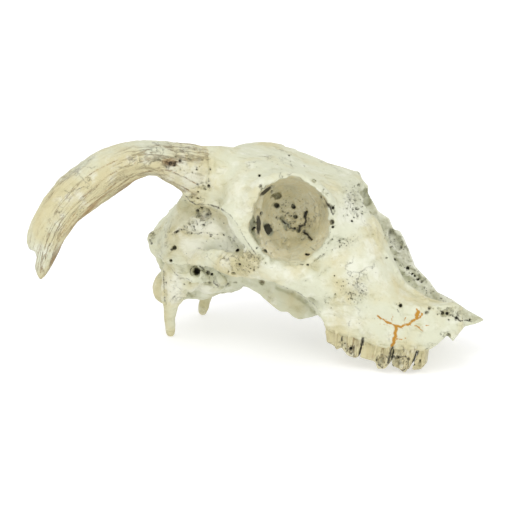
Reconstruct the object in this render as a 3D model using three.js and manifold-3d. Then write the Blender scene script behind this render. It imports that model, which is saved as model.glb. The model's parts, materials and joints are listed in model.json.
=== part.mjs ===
// Skull of a ram without its lower jaw. The right horn core stands, the left one is broken off with
// the brow round its root, and the nasal bones and the front of the muzzle are lost.
//
// Millimetres. +X points to the muzzle, +Y to the animal's left, +Z up. The skull lies as it rests
// on a table, on the tips of its jugular processes and on its cheek teeth, with the floor at Z = 0.

import * as THREE from 'three';
import { mergeVertices } from 'three/addons/utils/BufferGeometryUtils.js';
import Module from 'manifold-3d';

const wasm = await Module();
wasm.setup();

// ---------------------------------------------------------------- driving dimensions

// The middle of the whole skull's box on the floor, which becomes the origin.
const ORIGIN = { x: 9.25, y: -22.3 };

// Gap left where two bones meet.
const SEAM = 0.3;

const RIGHT = -1;
const LEFT = 1;
const SIDES = { right: RIGHT, left: LEFT };

// Lofted bodies. Each row is one cross-section: where it stands along X, its lowest, widest and
// highest Z, its half width, and how full it is above and below the widest level (2 is an ellipse).
const BRAINCASE = [
	{ x: -65.5, low: 47.5, wide: 51, high: 54.5, half: 11, full: 2.0, fullLow: 2.0 },
	{ x: -61, low: 41, wide: 49, high: 59, half: 18, full: 2.0, fullLow: 2.0 },
	{ x: -55, low: 28, wide: 47, high: 65.5, half: 25, full: 2.0, fullLow: 2.0 },
	{ x: -48, low: 21, wide: 49, high: 73.5, half: 29.5, full: 2.0, fullLow: 1.9 },
	{ x: -38, low: 21, wide: 54, high: 85, half: 33, full: 2.0, fullLow: 1.7 },
	{ x: -26, low: 23.5, wide: 59, high: 92, half: 34, full: 2.0, fullLow: 1.6 },
	{ x: -13, low: 27, wide: 61, high: 95, half: 32.5, full: 2.0, fullLow: 1.5 },
	{ x: -2, low: 30, wide: 63, high: 95, half: 25, full: 2.2, fullLow: 1.5 },
	{ x: 10, low: 32, wide: 64, high: 93, half: 16, full: 2.6, fullLow: 1.7 },
	{ x: 26, low: 32, wide: 62, high: 90, half: 14, full: 3.0, fullLow: 2.2 },
	{ x: 44, low: 30, wide: 58, high: 84, half: 15, full: 3.0, fullLow: 3.0 },
];

const FOREHEAD = [
	{ x: -46, low: 64, wide: 70, high: 76, half: 23, full: 2.0, fullLow: 1.8 },
	{ x: -38, low: 66, wide: 77, high: 88, half: 29.5, full: 2.0, fullLow: 1.7 },
	{ x: -28, low: 68, wide: 80, high: 97, half: 34.5, full: 2.1, fullLow: 1.8 },
	{ x: -16, low: 70, wide: 81, high: 101.6, half: 39, full: 2.3, fullLow: 2.2 },
	{ x: -4, low: 71, wide: 82, high: 103, half: 45, full: 2.5, fullLow: 2.4 },
	{ x: 8, low: 72, wide: 84, high: 100.8, half: 48, full: 3.0, fullLow: 2.4 },
	{ x: 20, low: 74, wide: 84, high: 96.4, half: 46, full: 4.4, fullLow: 2.4 },
	{ x: 32, low: 72, wide: 82, high: 92.6, half: 42, full: 4.2, fullLow: 2.4 },
	{ x: 42, low: 68, wide: 79, high: 89.4, half: 36.5, full: 2.8, fullLow: 2.4 },
	{ x: 49, low: 66, wide: 74, high: 86, half: 31, full: 1.9, fullLow: 2.4 },
];

const MUZZLE = [
	{ x: 27, low: 43, wide: 56, high: 88, half: 22, full: 2.4, fullLow: 2.4 },
	{ x: 34, low: 39, wide: 54, high: 90, half: 36, full: 2.4, fullLow: 2.6 },
	{ x: 41, low: 20, wide: 48, high: 89, half: 40.5, full: 2.1, fullLow: 3.0 },
	{ x: 50, low: 16.5, wide: 42, high: 84.5, half: 40, full: 1.7, fullLow: 3.2 },
	{ x: 60, low: 15, wide: 37, high: 73.5, half: 38, full: 1.5, fullLow: 3.4 },
	{ x: 68, low: 14, wide: 32, high: 58, half: 35.5, full: 1.55, fullLow: 3.4 },
	{ x: 76, low: 13, wide: 27, high: 43, half: 33, full: 1.8, fullLow: 3.4 },
	{ x: 86, low: 13, wide: 23, high: 36.5, half: 30, full: 2.0, fullLow: 3.2 },
	{ x: 95, low: 14, wide: 20.5, high: 31, half: 25, full: 2.2, fullLow: 2.8 },
	{ x: 104, low: 15.5, wide: 19, high: 24, half: 18.5, full: 2.4, fullLow: 2.4 },
	{ x: 111, low: 17, wide: 18.5, high: 20.5, half: 14, full: 2.4, fullLow: 2.4 },
];

const SKULL_BASE = [
	{ x: -52, low: 16, wide: 22, high: 34, half: 12, full: 2, fullLow: 2.4 },
	{ x: -40, low: 17.5, wide: 23, high: 36, half: 13, full: 2, fullLow: 2.4 },
	{ x: -28, low: 21.5, wide: 26, high: 36, half: 11, full: 2, fullLow: 2.4 },
	{ x: -14, low: 26, wide: 31, high: 38, half: 8.5, full: 2, fullLow: 2.4 },
	{ x: 2, low: 30, wide: 34, high: 42, half: 8, full: 2, fullLow: 2.4 },
];

// Hollow of the nose, open upwards and forwards where the nasal bones are lost.
const NASAL_HOLLOW = [
	{ x: 45, low: 50, wide: 66, high: 80, half: 7, full: 3, fullLow: 2.4 },
	{ x: 54, low: 34, wide: 64, high: 96, half: 9, full: 4, fullLow: 2.6 },
	{ x: 68, low: 26, wide: 50, high: 96, half: 10.5, full: 4, fullLow: 2.6 },
	{ x: 84, low: 22.5, wide: 36, high: 80, half: 11.5, full: 4, fullLow: 2.6 },
	{ x: 100, low: 20.5, wide: 30, high: 60, half: 11, full: 4, fullLow: 3 },
	{ x: 116, low: 18.5, wide: 28, high: 50, half: 10, full: 4, fullLow: 3 },
];

// Vault of the hard palate between the tooth rows.
const PALATE_VAULT = [
	{ x: 36, low: -8, wide: 8, high: 22, half: 17, full: 2.6, fullLow: 2 },
	{ x: 60, low: -8, wide: 6, high: 20.5, half: 21, full: 2.6, fullLow: 2 },
	{ x: 84, low: -8, wide: 6, high: 17.5, half: 19, full: 2.6, fullLow: 2 },
	{ x: 116, low: -8, wide: 6, high: 16.5, half: 12, full: 2.6, fullLow: 2 },
];

// Eye socket: the middle of its mouth, half sizes of its bowl, its rim, and how it faces.
const SOCKET = {
	x: 26.5,
	y: 43.5,
	z: 74.2,
	halfLength: 18.8,
	halfHeight: 20.6,
	depth: 27,
	rim: 3.6,
	forward: THREE.MathUtils.degToRad(22),
	up: THREE.MathUtils.degToRad(6),
};

// Bars of oval section along a smooth line of points: the half sizes at each point are given
// across the bar in its own plane of bend, and through that plane.
const HORN = {
	line: [
		[-12, -20, 87],
		[-25, -30.5, 92.6],
		[-37, -43, 98.2],
		[-47, -54, 101.2],
		[-57, -66, 97.6],
		[-66, -75, 90.2],
		[-75, -82, 80.4],
		[-81, -86, 70.6],
		[-84.4, -88, 60.8],
		[-86.2, -88.5, 52],
		[-87, -88.5, 46],
	],
	across: [15, 14, 10, 9, 11, 12, 11.4, 10, 8.4, 6.4, 3.8],
	through: [15, 13.5, 12, 11.5, 10.5, 10, 9.5, 9, 8.2, 7, 4.5],
};
const HORN_PLANE_NORMAL = new THREE.Vector3(0.69, -0.72, 0);

// Burr of the horn core, where it is told from the forehead.
const BURR = {
	point: new THREE.Vector3(-23, -30, 92),
	outward: new THREE.Vector3(-0.68, -0.66, 0.32).normalize(),
};

// Bite out of the outer side of the horn core's broken tip.
const TIP_BREAK = { x: -96, y: -92, z: 50, rx: 9.5, ry: 20, rz: 13 };

const SOCKET_BAR = {
	line: [
		[20, 50, 51],
		[12, 50.5, 58],
		[5, 49.5, 67],
		[0, 46.5, 76],
		[0, 41, 86],
	],
	across: [4, 4.4, 4.6, 6, 7],
	through: [2.6, 2.8, 3, 4, 6],
};

const CHEEK_ARCH = {
	line: [
		[64, 26, 36],
		[50, 35.5, 40],
		[41, 40, 42.5],
		[32, 44, 46],
		[22, 48.5, 49],
		[8, 48.5, 49],
		[-4, 46, 49],
		[-17, 40.5, 49.5],
		[-30, 33, 48],
	],
	across: [10, 9.6, 8.4, 6.4, 4, 3.6, 3.6, 4, 5],
	through: [5, 6, 5, 4.4, 3.6, 2.8, 2.8, 3.4, 6],
};

const JUGULAR = {
	line: [
		[-38, 30, 46],
		[-39.5, 30.5, 36],
		[-43.5, 28, 25],
		[-47, 23.5, 13],
		[-48.3, 19.8, 0.2],
		[-48.4, 19.4, -2],
	],
	across: [9, 8, 5.4, 3.6, 2.4, 2.2],
	through: [6, 4.5, 4, 3, 2.2, 2],
};

// Rounded parts on each side of the base and the ear, with their half sizes.
const CONDYLE = { x: -52.5, y: 13, z: 24.5, rx: 9.2, ry: 10, rz: 9.6 };
const MASTOID = { x: -36, y: 27.5, z: 43, rx: 12.5, ry: 9.5, rz: 11 };
const EAR_TUBE = { x: -27, y: 31, z: 41.5, rx: 5.5, ry: 8, rz: 5.5 };
const EAR_HOLE = { x: -27, y: 40, z: 41.5, rx: 2.8, ry: 7, rz: 3 };
const BULLA = { x: -27, y: 18, z: 33, rx: 8.5, ry: 6.5, rz: 7 };
const NUCHAL_CREST = { x: -56, y: 0, z: 51, rx: 9.5, ry: 22, rz: 4.5 };
const FORAMEN_MAGNUM = { x: -61, y: 0, z: 34, rx: 15, ry: 9.5, rz: 8.5 };

// Wing of the palate and pterygoid bones beside the inner nostrils, seen from the side.
const PALATE_WING = {
	inner: 10.5,
	outer: 15,
	outline: [
		[-11, 30],
		[-2, 26.2],
		[6, 20.5],
		[10, 18.2],
		[15, 18],
		[19.5, 15.2],
		[24, 16.6],
		[34, 20],
		[46, 19],
		[46, 48],
		[-4, 48],
		[-11, 38],
	],
};

// Cheek teeth from the rearmost forwards: rear and front ends along X, middle and half width in Y,
// the level they start at inside the gum edge, and the level of each lobe's worn face.
const TEETH = [
	{ rear: 42.6, front: 58.6, y: 31.6, half: 6.2, gum: 24, worn: [12, 8, 5.6] },
	{ rear: 59, front: 73.8, y: 30.6, half: 6.4, gum: 22, worn: [4.2, 0.8] },
	{ rear: 74.4, front: 84.2, y: 28.6, half: 6, gum: 21, worn: [0.6, 0] },
	{ rear: 84.8, front: 92.2, y: 26, half: 5.2, gum: 21, worn: [0] },
];
const LOST_ON_LEFT = 1;
const LOBE_OVERLAP = 1.2;
const WORN_TAPER = 0.9;

// Break across the forehead above the left socket: the bone beyond this plane is lost, and cells
// of the frontal sinus lie open in it.
const BROW_BREAK = {
	point: new THREE.Vector3(0, 8, 102.5),
	outward: new THREE.Vector3(0.12, 0.78, 0.62).normalize(),
};
const SINUS_CELLS = [
	{ x: -27, y: 22, z: 88, rx: 9, ry: 6, rz: 5 },
	{ x: -8, y: 21, z: 91, rx: 8, ry: 7, rz: 6 },
	{ x: 12, y: 19, z: 90, rx: 9, ry: 6, rz: 5.5 },
	{ x: 31, y: 16, z: 87, rx: 8, ry: 5.5, rz: 5 },
];

// The right half of the muzzle ends behind the left one, and the left one is broken lower along
// the nose, above this side-view outline.
const RIGHT_MUZZLE_END = 105.5;
const LEFT_NOSE_BREAK = [
	[50, 85],
	[52, 79],
	[56, 72],
	[62, 66],
	[66, 59],
	[70, 51],
	[74, 43],
	[82, 35],
	[90, 60],
	[60, 100],
];

// Side-view outlines, in X and Z, inside which one bone is told from the next, and the distance
// from the middle plane past which the cheekbone begins.
const FAR = 220;
const OCCIPUT_AREA = [
	[-FAR, -FAR],
	[-17, -FAR],
	[-17, 29.5],
	[-30, 34],
	[-43, 41],
	[-50, 51],
	[-58, 64],
	[-FAR, 64],
];
const FOREHEAD_AREA = [[-FAR, 75], [30, 75], [47.5, 71], [47.5, FAR], [-FAR, FAR]];
const JAW_AREA = [[25, -FAR], [FAR, -FAR], [FAR, FAR], [25, FAR]];
const CHEEK_AREA = [[-18, 30], [42, 30], [42, 62], [37, 74.7], [-18, 74.7]];
const WING_AREA = [[-11.3, -FAR], [40, -FAR], [40, 31], [-11.3, 31]];
const CHEEK_INNER = 36.6;
const WING_INNER = 9;

const BONE = { color: 0xe6e4d0, roughness: 0.72, metalness: 0 };
const HORN_BONE = { color: 0xd9c8a6, roughness: 0.85, metalness: 0 };

// Mesh fineness.
const LOFT_SIDES = 16;
const SWEEP_SIDES = 8;
const STEPS_PER_POINT = 1.5;
const TOOTH_SIDES = 8;
const BALL = { around: 11, down: 7 };
const BOWL = { around: 16, down: 9 };
const RIM = { around: 20, tube: 6 };

// ---------------------------------------------------------------- shape tools

const UP = new THREE.Vector3(0, 0, 1);
const OUTWARD = new THREE.Vector3(0, 1, 0);

// Solid of a closed geometry.
function solid(geometry) {
	const bare = geometry.clone();
	bare.deleteAttribute('normal');
	bare.deleteAttribute('uv');
	const merged = mergeVertices(bare, 1e-4);
	const vertProperties = new Float32Array(merged.attributes.position.array);
	const triVerts = new Uint32Array(merged.index.array);
	return new wasm.Manifold(new wasm.Mesh({ numProp: 3, vertProperties, triVerts }));
}

// Closed skin over rings of equally many points, each end closed to its middle.
function skin(rings) {
	const count = rings[0].length;
	const points = rings.flat();
	const index = [];
	for (let ring = 0; ring < rings.length - 1; ring++) {
		for (let i = 0; i < count; i++) {
			const a = ring * count + i;
			const b = ring * count + ((i + 1) % count);
			index.push(a, b, b + count, a, b + count, a + count);
		}
	}
	const ends = [0, rings.length - 1];
	ends.forEach((ring, end) => {
		const middle = new THREE.Vector3();
		rings[ring].forEach((point) => middle.addScaledVector(point, 1 / count));
		points.push(middle);
		const hub = points.length - 1;
		for (let i = 0; i < count; i++) {
			const a = ring * count + i;
			const b = ring * count + ((i + 1) % count);
			index.push(...(end ? [hub, a, b] : [hub, b, a]));
		}
	});
	return new THREE.BufferGeometry().setFromPoints(points).setIndex(index);
}

// Number to a power that keeps its sign, for the rounded-box curve.
const signedPower = (value, power) => Math.sign(value) * Math.abs(value) ** power;

// Smooth values between rows of named numbers, taken at the rows' own x.
function between(rows, x) {
	const keys = Object.keys(rows[0]).filter((key) => key !== 'x');
	const stops = new Float32Array(rows.map((row) => row.x));
	const values = new Float32Array(rows.flatMap((row) => keys.map((key) => row[key])));
	const result = new THREE.CubicInterpolant(stops, values, keys.length).evaluate(x);
	return Object.fromEntries(keys.map((key, i) => [key, result[i]]));
}

// Loft along X through the rows of a body, with a ring between rows on a finely curved one.
function loft(rows, fine = false) {
	const rings = [];
	const stops = rows.flatMap(({ x }, i) => (fine && i ? [(rows[i - 1].x + x) / 2, x] : [x]));
	for (const x of stops) {
		const shape = between(rows, x);
		const ring = [];
		for (let i = 0; i < LOFT_SIDES; i++) {
			const angle = (i / LOFT_SIDES) * 2 * Math.PI;
			const up = Math.sin(angle) >= 0;
			const power = 2 / (up ? shape.full : shape.fullLow);
			const height = up ? shape.high - shape.wide : shape.wide - shape.low;
			const y = shape.half * signedPower(Math.cos(angle), power);
			const z = shape.wide + height * signedPower(Math.sin(angle), power);
			ring.push(new THREE.Vector3(x, y, z));
		}
		rings.push(ring);
	}
	return solid(skin(rings));
}

// Bar of oval section along a smooth line. "through" lies along the given normal.
function sweep({ line, across, through }, normal, side = LEFT) {
	const curve = new THREE.CatmullRomCurve3(line.map(([x, y, z]) => new THREE.Vector3(x, side * y, z)));
	const stops = Float32Array.from(line, (_, i) => i);
	const halfAcross = new THREE.LinearInterpolant(stops, new Float32Array(across), 1);
	const halfThrough = new THREE.LinearInterpolant(stops, new Float32Array(through), 1);
	const rings = [];
	const steps = Math.round(STEPS_PER_POINT * line.length);
	for (let step = 0; step <= steps; step++) {
		const share = step / steps;
		const at = share * (line.length - 1);
		const middle = curve.getPoint(share);
		const along = curve.getTangent(share);
		const thin = normal.clone().addScaledVector(along, -normal.dot(along)).normalize();
		const wide = new THREE.Vector3().crossVectors(along, thin);
		const a = halfThrough.evaluate(at)[0];
		const b = halfAcross.evaluate(at)[0];
		const ring = [];
		for (let i = 0; i < SWEEP_SIDES; i++) {
			const angle = (i / SWEEP_SIDES) * 2 * Math.PI;
			const point = middle.clone();
			point.addScaledVector(thin, a * Math.cos(angle));
			point.addScaledVector(wide, b * Math.sin(angle));
			ring.push(point);
		}
		rings.push(ring);
	}
	return solid(skin(rings));
}

// Ellipsoid on one side of the skull.
function ball({ x, y, z, rx, ry, rz }, side = LEFT) {
	const geometry = new THREE.SphereGeometry(1, BALL.around, BALL.down);
	geometry.scale(rx, ry, rz);
	geometry.translate(x, side * y, z);
	return solid(geometry);
}

// Everything beyond a plane, as a block that reaches far enough to cut any bone.
function beyond({ point, outward }, offset = 0) {
	const geometry = new THREE.BoxGeometry(2 * FAR, 2 * FAR, FAR);
	geometry.translate(0, 0, FAR / 2 + offset);
	geometry.applyQuaternion(new THREE.Quaternion().setFromUnitVectors(UP, outward));
	geometry.translate(...point);
	return solid(geometry);
}

// Side-view outline carried across the skull from one Y to another.
function slab(outline, fromY, toY) {
	const shape = new THREE.Shape(outline.map(([x, z]) => new THREE.Vector2(x, z)));
	const geometry = new THREE.ExtrudeGeometry(shape, { depth: toY - fromY, bevelEnabled: false });
	geometry.rotateX(Math.PI / 2);
	geometry.translate(0, toY, 0);
	return solid(geometry);
}

// The same outline on one side of the skull, from an inner to an outer distance from its middle.
function sideSlab(outline, inner, outer, side) {
	return side === LEFT ? slab(outline, inner, outer) : slab(outline, -outer, -inner);
}

const join = (solids) => solids.reduce((sum, piece) => sum.add(piece));
const bothSides = (make) => join(Object.values(SIDES).map(make));

// ---------------------------------------------------------------- bones

// Turns a shape made round the socket's axis so that it faces out, forward and a little up.
function placeAtSocket(geometry, side) {
	geometry.rotateX(-side * SOCKET.up);
	geometry.rotateZ(-side * SOCKET.forward);
	geometry.translate(SOCKET.x, side * SOCKET.y, SOCKET.z);
	return solid(geometry);
}

function socketBowl(side) {
	const geometry = new THREE.SphereGeometry(1, BOWL.around, BOWL.down);
	geometry.scale(SOCKET.halfLength, SOCKET.depth, SOCKET.halfHeight);
	return placeAtSocket(geometry, side);
}

function socketRim(side) {
	const tube = SOCKET.rim / 2 / SOCKET.halfLength;
	const geometry = new THREE.TorusGeometry(1 + tube, 1.2 * tube, RIM.tube, RIM.around);
	geometry.rotateX(Math.PI / 2);
	geometry.scale(SOCKET.halfLength, SOCKET.halfLength, SOCKET.halfHeight);
	return placeAtSocket(geometry, side);
}

const cheek = (side) => sweep(CHEEK_ARCH, OUTWARD, side).add(sweep(SOCKET_BAR, OUTWARD, side));
const palateWing = (side) => sideSlab(PALATE_WING.outline, PALATE_WING.inner, PALATE_WING.outer, side);

// One cheek tooth: a column for each lobe, a little narrower at its flat worn face.
function tooth({ rear, front, y, half, gum, worn }, side) {
	const length = (front - rear) / worn.length;
	const columns = worn.map((level, lobe) => {
		const column = new THREE.CylinderGeometry(1, WORN_TAPER, gum - level, TOOTH_SIDES);
		column.rotateX(Math.PI / 2);
		column.scale((length + LOBE_OVERLAP) / 2, half, 1);
		column.translate(rear + (lobe + 0.5) * length, side * y, (gum + level) / 2);
		return solid(column);
	});
	return join(columns);
}

function toothRow(side) {
	const kept = side === LEFT ? TEETH.slice(0, -LOST_ON_LEFT) : TEETH;
	return join(kept.map((size) => tooth(size, side)));
}

// Horn core grown larger all round by a margin.
function hornCore(margin = 0) {
	const grow = (halves) => halves.map((half) => half + margin);
	const size = { line: HORN.line, across: grow(HORN.across), through: grow(HORN.through) };
	return sweep(size, HORN_PLANE_NORMAL).subtract(ball(TIP_BREAK));
}

// The whole skull up to the burr of the right horn core.
function wholeSkull() {
	const grown = join([
		loft(BRAINCASE, true),
		loft(FOREHEAD),
		loft(MUZZLE),
		loft(SKULL_BASE),
		ball(NUCHAL_CREST),
		bothSides(socketRim),
		bothSides(cheek),
		bothSides(palateWing),
		bothSides((side) => sweep(JUGULAR, OUTWARD, side)),
		bothSides((side) => ball(CONDYLE, side)),
		bothSides((side) => ball(MASTOID, side)),
		bothSides((side) => ball(EAR_TUBE, side)),
		bothSides((side) => ball(BULLA, side)),
	]);
	const hollows = join([
		bothSides(socketBowl),
		loft(NASAL_HOLLOW),
		loft(PALATE_VAULT),
		ball(FORAMEN_MAGNUM),
		bothSides((side) => ball(EAR_HOLE, side)),
		beyond(BROW_BREAK),
		join(SINUS_CELLS.map((cell) => ball(cell))),
		sideSlab([[RIGHT_MUZZLE_END, 0], [FAR, 0], [FAR, FAR], [RIGHT_MUZZLE_END, FAR]], 0, FAR, RIGHT),
		sideSlab(LEFT_NOSE_BREAK, 0, FAR, LEFT),
	]);
	const freeHorn = hornCore(SEAM).intersect(beyond(BURR));
	const hornRoot = hornCore().subtract(beyond(BURR));
	return grown.subtract(hollows).subtract(freeHorn).add(hornRoot).add(bothSides(toothRow));
}

// ---------------------------------------------------------------- assembly

const skull = new THREE.Group();
const floor = beyond({ point: new THREE.Vector3(), outward: new THREE.Vector3(0, 0, -1) });

// Adds one bone as a named mesh, cut off level with the floor and without loose crumbs.
function addBone(name, body, look) {
	const [largest] = body.subtract(floor).decompose().sort((a, b) => b.volume() - a.volume());
	const { vertProperties, triVerts } = largest.getMesh();
	const geometry = new THREE.BufferGeometry();
	geometry.setAttribute('position', new THREE.BufferAttribute(new Float32Array(vertProperties), 3));
	geometry.setIndex(new THREE.BufferAttribute(new Uint32Array(triVerts), 1));
	geometry.computeVertexNormals();
	const mesh = new THREE.Mesh(geometry, new THREE.MeshStandardMaterial(look));
	mesh.name = name;
	mesh.position.set(-ORIGIN.x, -ORIGIN.y, 0);
	skull.add(mesh);
}

// An area grown by the seam on every side.
function widened(area) {
	const steps = [-SEAM, SEAM].flatMap((step) => [[step, 0, 0], [0, step, 0], [0, 0, step]]);
	return join(steps.map((step) => area.translate(step)));
}

let rest = wholeSkull();

// Adds the part of the skull that lies in an area as a bone, and parts the rest from it.
function partOff(name, area) {
	addBone(name, rest.intersect(area), BONE);
	rest = rest.subtract(widened(area));
}

partOff('occiput', slab(OCCIPUT_AREA, -FAR, FAR));
for (const [name, side] of Object.entries(SIDES)) {
	partOff(`palate_wing_${name}`, sideSlab(WING_AREA, WING_INNER, FAR, side));
	partOff(`cheekbone_${name}`, sideSlab(CHEEK_AREA, CHEEK_INNER, FAR, side));
}
partOff('forehead', slab(FOREHEAD_AREA, -FAR, FAR));
for (const [name, side] of Object.entries(SIDES)) {
	partOff(`upper_jaw_${name}`, sideSlab(JAW_AREA, 0, FAR, side));
}
addBone('braincase', rest, BONE);
addBone('horn_core_right', hornCore().intersect(beyond(BURR, SEAM)), HORN_BONE);

export default skull;
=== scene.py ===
"""Weathered skull of a ram without its lower jaw, with the right horn core standing.

Every bone is carved in one block of points that hold the distance to the nearest bone surface.
Lengths in the tables are millimetres in the skull's own frame: X to the muzzle, Y to the animal's
left, Z up from the floor.
"""

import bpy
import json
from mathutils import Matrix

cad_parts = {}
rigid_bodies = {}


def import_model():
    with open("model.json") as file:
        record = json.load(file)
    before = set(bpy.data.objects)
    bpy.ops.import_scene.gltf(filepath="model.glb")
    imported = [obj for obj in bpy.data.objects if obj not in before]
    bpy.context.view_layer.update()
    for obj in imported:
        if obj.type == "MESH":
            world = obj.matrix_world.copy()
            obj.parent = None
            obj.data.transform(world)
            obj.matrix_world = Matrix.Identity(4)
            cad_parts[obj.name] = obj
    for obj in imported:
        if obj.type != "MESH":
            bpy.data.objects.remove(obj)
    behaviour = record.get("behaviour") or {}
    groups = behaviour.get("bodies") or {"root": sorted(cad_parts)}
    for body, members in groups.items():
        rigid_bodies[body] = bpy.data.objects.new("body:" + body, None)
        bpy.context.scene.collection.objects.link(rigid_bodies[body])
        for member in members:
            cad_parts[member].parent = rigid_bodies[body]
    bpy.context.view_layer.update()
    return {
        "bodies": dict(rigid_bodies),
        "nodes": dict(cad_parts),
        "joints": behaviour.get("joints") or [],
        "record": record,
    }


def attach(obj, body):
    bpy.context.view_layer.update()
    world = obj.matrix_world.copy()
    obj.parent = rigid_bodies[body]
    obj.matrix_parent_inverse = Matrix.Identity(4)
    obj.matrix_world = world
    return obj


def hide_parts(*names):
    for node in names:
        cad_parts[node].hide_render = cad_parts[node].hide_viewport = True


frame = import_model()

import json
import math

import bpy
import numpy as np
from mathutils import Vector

bl_info = {
    "name": "Ram Skull",
    "version": (1, 0, 0),
    "blender": (4, 5, 0),
    "location": "3D View > Sidebar > Skull",
    "description": "Builds a weathered ram skull bone by bone",
    "category": "Mesh",
}

# ------------------------------------------------------------------ sizes

MM = 0.001
ORIGIN = np.array([9.25, -22.3, 0.0])
RIGHT, LEFT = -1, 1
SIDES = {"right": RIGHT, "left": LEFT}
FAR = 60.0
SHARP_ANGLE = math.radians(62)

# The block of points that the skull is carved from, and the parts of it that some steps work in.
BLOCK = ((-101.0, -101.0, -2.6), (116.0, 59.0, 114.0))
HORN_BOX = ((-101, -101, 36), (4, 2, 114))
BROW_BOX = ((-60, 0, 60), (60, 57, 113))
MUZZLE_BOX = ((96, -40, 4), (115, 0, 50))
NOSE_BREAK_BOX = ((44, 0, 28), (96, 50, 110))
NOSE_INSIDE_BOX = ((40, -12, 16), (114, 30, 96))
CORE = np.array([-25.0, 0.0, 60.0])

# Roughness of carved marks: how far their walls wander, the radius from which they wander in full,
# and how far the places of a groove are shaken, in pixels or millimetres of its own table.
RAGGED = 0.5
RAGGED_RADIUS = 1.6
SHAKEN = 0.7
HOLE_BLEND = 0.3

# Pores: how tightly a group lies, and how strong and wide the dark in each is, dirt with the
# painted shade of a hole too small to carve.
PORE_SPREAD = 0.55
PORE_BLEND = 0.2
PORE_DARKNESS = 0.85
PORE_DARK_SIZE = 0.95
PORE_DARK_REACH = 0.55

# Rows of a lofted body: x, then Z where it is lowest, widest and highest, its half width, and its
# fullness above and below (2 is round).
BRAINCASE = [
    (-65.5, 47.5, 51, 54.5, 11, 2.0, 2.0),
    (-61, 41, 49, 59, 18, 2.0, 2.0),
    (-55, 28, 47, 65.5, 25, 2.0, 2.0),
    (-48, 21, 49, 73.5, 29.5, 2.0, 1.9),
    (-38, 21, 54, 85, 33.5, 2.2, 1.7),
    (-26, 23.5, 59, 92, 35.5, 2.5, 1.6),
    (-13, 27, 61, 95, 35, 2.8, 1.5),
    (-2, 30, 63, 95, 30, 3.0, 1.5),
    (10, 32, 64, 93, 19, 3.0, 1.7),
    (26, 32, 62, 90, 14, 3.0, 2.2),
    (44, 30, 58, 84, 15, 3.0, 3.0),
]
FOREHEAD = [
    (-46, 64, 70, 76, 23, 2.0, 1.8),
    (-38, 66, 77, 88, 29.5, 2.0, 1.7),
    (-28, 68, 80, 97, 34.5, 2.1, 1.8),
    (-16, 70, 81, 101.6, 39, 2.3, 2.2),
    (-4, 71, 82, 103, 45, 2.5, 2.4),
    (8, 72, 84, 100.8, 48, 3.0, 2.4),
    (20, 74, 84, 96.4, 46, 4.4, 2.4),
    (32, 72, 82, 92.6, 42, 4.2, 2.4),
    (42, 68, 79, 89.4, 36.5, 2.8, 2.4),
    (49, 66, 74, 86, 31, 1.9, 2.4),
]
MUZZLE = [
    (27, 43, 56, 88, 22, 2.4, 2.4),
    (34, 39, 54, 90, 36, 2.4, 2.6),
    (41, 20, 48, 89, 40.5, 2.1, 3.0),
    (50, 15, 42, 84.5, 40, 2.4, 3.2),
    (60, 13, 37, 73.5, 38.4, 2.6, 3.4),
    (68, 11, 32, 58, 36.6, 2.8, 3.4),
    (76, 10, 27, 43, 34.4, 3.0, 3.4),
    (86, 10, 23, 36.5, 31.2, 3.0, 3.2),
    (95, 12, 20.5, 31, 26, 3.0, 2.8),
    (104, 15.5, 19, 24, 18.5, 2.4, 2.4),
    (111, 17, 18.5, 20.5, 14, 2.4, 2.4),
]
SKULL_BASE = [
    (-52, 16, 22, 34, 12, 2, 2.4),
    (-40, 17.5, 23, 36, 13, 2, 2.4),
    (-28, 21.5, 26, 36, 11, 2, 2.4),
    (-14, 26, 31, 38, 8.5, 2, 2.4),
    (2, 30, 34, 42, 8, 2, 2.4),
]
NASAL_HOLLOW = [
    (44, 52, 66, 80, 8, 3, 2.4),
    (54, 34, 64, 96, 11, 4, 2.6),
    (68, 25, 50, 96, 13, 4, 2.6),
    (84, 21.5, 36, 80, 13.5, 4, 2.6),
    (100, 20, 30, 60, 12.5, 4, 3),
    (118, 18.5, 28, 50, 11, 4, 3),
]
PALATE_VAULT = [
    (36, -8, 8, 22, 17, 2.6, 2),
    (60, -8, 6, 20.5, 21, 2.6, 2),
    (84, -8, 6, 17.5, 19, 2.6, 2),
    (118, -8, 6, 16.5, 12, 2.6, 2),
]

# Bars of oval section: rows of x, y, z on the left, half size across the bend and through it.
HORN = [
    (-12, 20, 87, 15, 15),
    (-25, 30.5, 92.6, 14, 13.5),
    (-37, 43, 98.2, 10, 12),
    (-47, 54, 101.2, 9, 11.5),
    (-57, 66, 97.6, 11, 10.5),
    (-66, 75, 90.2, 12, 10),
    (-75, 82, 80.4, 11.4, 9.5),
    (-81, 86, 70.6, 10, 9),
    (-84.4, 88, 60.8, 8.4, 8.2),
    (-86.2, 88.5, 52, 6.4, 7),
    (-87, 88.5, 46, 3.8, 4.5),
]
HORN_NORMAL = (0.69, 0.72, 0)
FIBRE_STRETCH = 9.0
SOCKET_BAR = [
    (20, 50, 51, 4, 2.6),
    (12, 50.5, 58, 4.4, 2.8),
    (5, 49.5, 67, 4.6, 3),
    (0, 46.5, 76, 6, 4),
    (0, 41, 86, 7, 6),
]
CHEEK_ARCH = [
    (64, 26, 36, 10, 5),
    (50, 35.5, 40, 9.6, 6),
    (41, 40, 42.5, 8.4, 5),
    (32, 44, 46, 6.4, 4.4),
    (22, 48.5, 49, 4, 3.6),
    (8, 49, 49.4, 4.4, 2.2),
    (-4, 46.6, 50, 4.6, 2.2),
    (-15, 42, 50.6, 4.8, 3.0),
    (-24, 37, 50, 4.8, 4.4),
    (-31, 32, 48, 4.6, 5),
]
JUGULAR = [
    (-37, 30, 47, 11, 6),
    (-39.5, 31, 37, 9.6, 4.6),
    (-44, 29, 26, 6.6, 3.8),
    (-47.9, 25, 14, 4.1, 2.9),
    (-49.6, 21.5, 5, 3.0, 2.3),
    (-49.8, 20.6, 2.1, 2.3, 2.0),
]

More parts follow.
